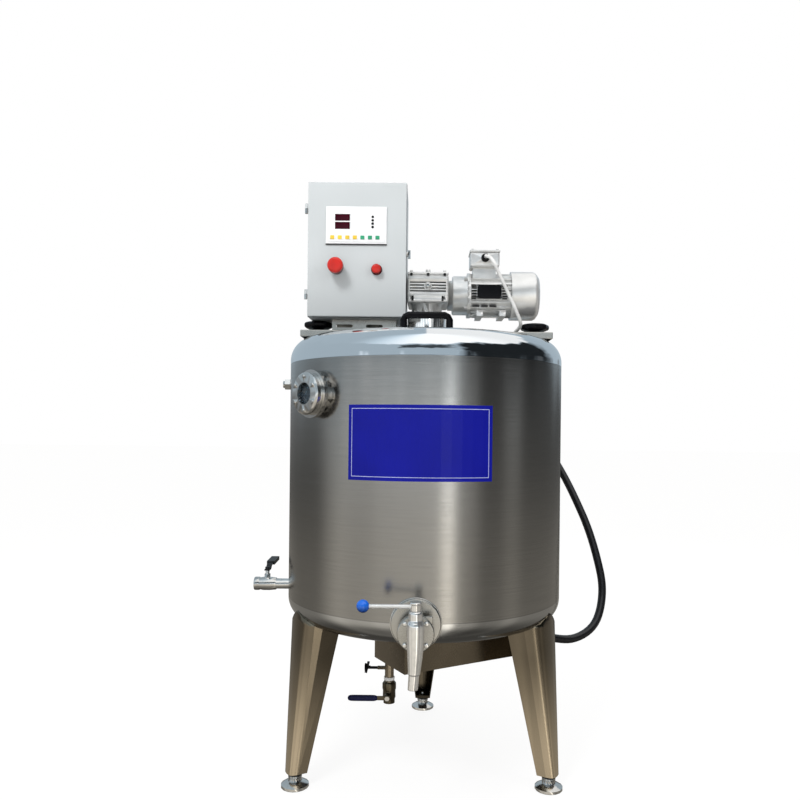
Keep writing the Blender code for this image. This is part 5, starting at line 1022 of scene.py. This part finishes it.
class VAT_OT_stage(VatOperator, bpy.types.Operator):
    """Lay the pale floor and set the soft studio light"""

    bl_idname = "vat.stage"
    bl_label = "Studio"

    def execute(self, context):
        scene = context.scene
        scene.view_settings.view_transform = "Standard"
        mesh = bpy.data.meshes.new("studio_floor")
        mesh.from_pydata([(-30, -30, 0), (30, -30, 0), (30, 30, 0), (-30, 30, 0)], [], [(0, 1, 2, 3)])
        floor = bpy.data.objects.new("studio_floor", mesh)
        scene.collection.objects.link(floor)
        mesh.materials.append(self.floor_finish())
        floor.visible_glossy = False
        self.world(scene)
        self.lamp("key_soft", (-1.2, -2.4, 3.2), (0.0, 0.0, 1.0), 1.0, 1.0, 62.0)
        self.lamp("fill_soft", (2.4, -2.2, 2.0), (0.0, 0.0, 0.9), 1.4, 1.4, 14.0)
        self.lamp("back_soft", (0.6, 2.8, 2.8), (0.0, 0.0, 0.9), 1.6, 1.2, 16.0)
        return {"FINISHED"}

    def floor_finish(self):
        """White card: its diffuse keeps the shadow, and for the camera it is lifted towards plain white."""
        material = bpy.data.materials.new("studio_card")
        material.use_nodes = True
        material.node_tree.nodes.clear()
        nodes = Nodes(material.node_tree)
        card = nodes.node("ShaderNodeBsdfDiffuse", inputs={"Color": (0.80, 0.80, 0.80, 1)})
        glow = nodes.node("ShaderNodeEmission", inputs={"Strength": 1.08})
        weight = nodes.value("ShaderNodeLightPath", "Is Camera Ray") * 0.80
        lifted = nodes.either(weight, card.outputs[0], glow.outputs[0])
        nodes.node("ShaderNodeOutputMaterial", inputs={"Surface": lifted})
        return material

    def world(self, scene):
        """Plain white for the camera, even light for matt things, and a quiet room for the metal to show."""
        world = bpy.data.worlds.new("studio_room")
        scene.world = world
        world.use_nodes = True
        world.node_tree.nodes.clear()
        nodes = Nodes(world.node_tree)
        place = nodes.node("ShaderNodeTexCoord").outputs["Generated"]
        x, y, z = nodes.axes(place)
        turn = x.turn_of(0.0 - y) * (180 / math.pi)
        ragged = nodes.value("ShaderNodeTexNoise", "Fac", None, {"Vector": place, "Scale": 5.0}) - 0.5
        glossy, top, shoulder = self.room(turn, z, turn + ragged * 30.0, z + ragged * 0.30)
        warm_to_cool = nodes.blend(z.rise(-0.20, 0.10), (1.0, 0.945, 0.84), (0.88, 0.94, 1.0))
        sky = nodes.blend(top * turn.rise(-55.0, 5.0), (0.74, 0.89, 1.0), (1.0, 1.0, 0.99))
        room = self.background(nodes, nodes.blend(shoulder, warm_to_cool, sky), glossy)
        even = self.background(nodes, (1.0, 0.99, 0.975, 1), 0.80)
        white = self.background(nodes, (1, 1, 1, 1), 1.0)
        path = nodes.node("ShaderNodeLightPath").outputs
        lit = nodes.either(path["Is Glossy Ray"], even, room)
        seen = nodes.either(path["Is Camera Ray"], lit, white)
        nodes.node("ShaderNodeOutputWorld", inputs={"Surface": seen})

    def room(self, turn, z, side, edge):
        """What metal shows, by the turn in degrees from the front and the height of the direction."""
        left = turn.between((-100.0, -68.0), (3.0, 9.0))
        middle = turn.between((-46.0, -36.0), (2.0, 9.0))
        strip = turn.between((1.0, 14.0), (22.0, 26.0))
        core = turn.between((12.0, 18.0), (21.0, 25.0))
        after = turn.between((21.0, 26.0), (36.0, 52.0))
        slit = turn.between((62.0, 72.0), (78.0, 88.0))
        open_side = 1.0 - turn.rise(30.0, 45.0)
        room = 0.13 + left * 0.50 + middle * 0.15 + strip * 0.85 + core * 1.25 + after * 0.32 + slit * 0.13
        low_sides = (1.0 - z.rise(-0.21, -0.05)) * (1.0 - turn.between((-74.0, -60.0), (42.0, 56.0)))
        room = room + low_sides * 0.15
        room = room * (1.0 + z.rise(-0.09, 0.07) * (1.35 * open_side + slit * 1.4 - 0.15))
        room = room * (0.30 + 0.70 * z.rise(-0.80, -0.30))
        # Above the shoulder's edge: dark hills, then a pale sky
        shade_side = side.between((22.0, 34.0), (112.0, 135.0))
        spot = side.between((-24.0, -18.0), (16.0, 26.0)) * edge.between((0.27, 0.33), (0.45, 0.51))
        hills = 0.60 - 0.58 * shade_side.at_least(spot * 0.9)
        top = (edge - 0.11 * side.rise(16.0, 34.0)).rise(0.52, 0.60)
        above = 0.62 + 0.72 * turn.rise(-80.0, -10.0) * (1.0 - 0.35 * turn.rise(50.0, 110.0))
        shoulder = edge.rise(0.02, 0.10)
        return room * (1.0 - shoulder) + shoulder * (hills * (1.0 - top) + above * top), top, shoulder

    def background(self, nodes, colour, strength):
        return nodes.node("ShaderNodeBackground", inputs={"Color": colour, "Strength": strength}).outputs[0]

    def lamp(self, name, place, aim, wide, high, watts):
        """A soft rectangular lamp at a place, turned towards its aim, which metal doesn't show."""
        light = bpy.data.lights.new(name, "AREA")
        light.shape = "RECTANGLE"
        light.size = wide
        light.size_y = high
        light.energy = watts
        obj = bpy.data.objects.new(name, light)
        obj.location = AXIS + np.array(place)
        way = np.array(aim) - np.array(place)
        way = way / np.linalg.norm(way)
        obj.rotation_euler = (math.acos(-way[2]), 0, math.atan2(-way[0], way[1]))
        obj.visible_camera = False
        obj.visible_glossy = False
        bpy.context.scene.collection.objects.link(obj)


class VAT_PT_panel(bpy.types.Panel):
    """The dressing's colours, sizes and steps"""

    bl_idname = "VAT_PT_panel"
    bl_label = "Milk sterilizer"
    bl_space_type = "VIEW_3D"
    bl_region_type = "UI"
    bl_category = "Sterilizer"

    def draw(self, context):
        for group in (context.scene.vat_colours, context.scene.vat_sizes):
            for key in group.__annotations__:
                self.layout.prop(group, key)
        for operator in OPERATORS:
            self.layout.operator(operator.bl_idname)


OPERATORS = [VAT_OT_camera, VAT_OT_cords, VAT_OT_shell, VAT_OT_panel, VAT_OT_hand_pieces, VAT_OT_outlet,
             VAT_OT_drive, VAT_OT_valve_grip, VAT_OT_details, VAT_OT_finishes, VAT_OT_stage]
CLASSES = [VatColours, VatSizes, *OPERATORS, VAT_PT_panel]


def register():
    for entry in CLASSES:
        bpy.utils.register_class(entry)
    bpy.types.Scene.vat_colours = bpy.props.PointerProperty(type=VatColours)
    bpy.types.Scene.vat_sizes = bpy.props.PointerProperty(type=VatSizes)


def unregister():
    del bpy.types.Scene.vat_colours
    del bpy.types.Scene.vat_sizes
    for entry in reversed(CLASSES):
        bpy.utils.unregister_class(entry)


def main():
    register()
    bpy.ops.vat.camera()
    bpy.ops.vat.cords()
    bpy.ops.vat.shell()
    bpy.ops.vat.panel()
    bpy.ops.vat.hand_pieces()
    bpy.ops.vat.outlet()
    bpy.ops.vat.drive()
    bpy.ops.vat.valve_grip()
    bpy.ops.vat.details()
    bpy.ops.vat.finishes()
    bpy.ops.vat.stage()


if __name__ == "__main__":
    main()
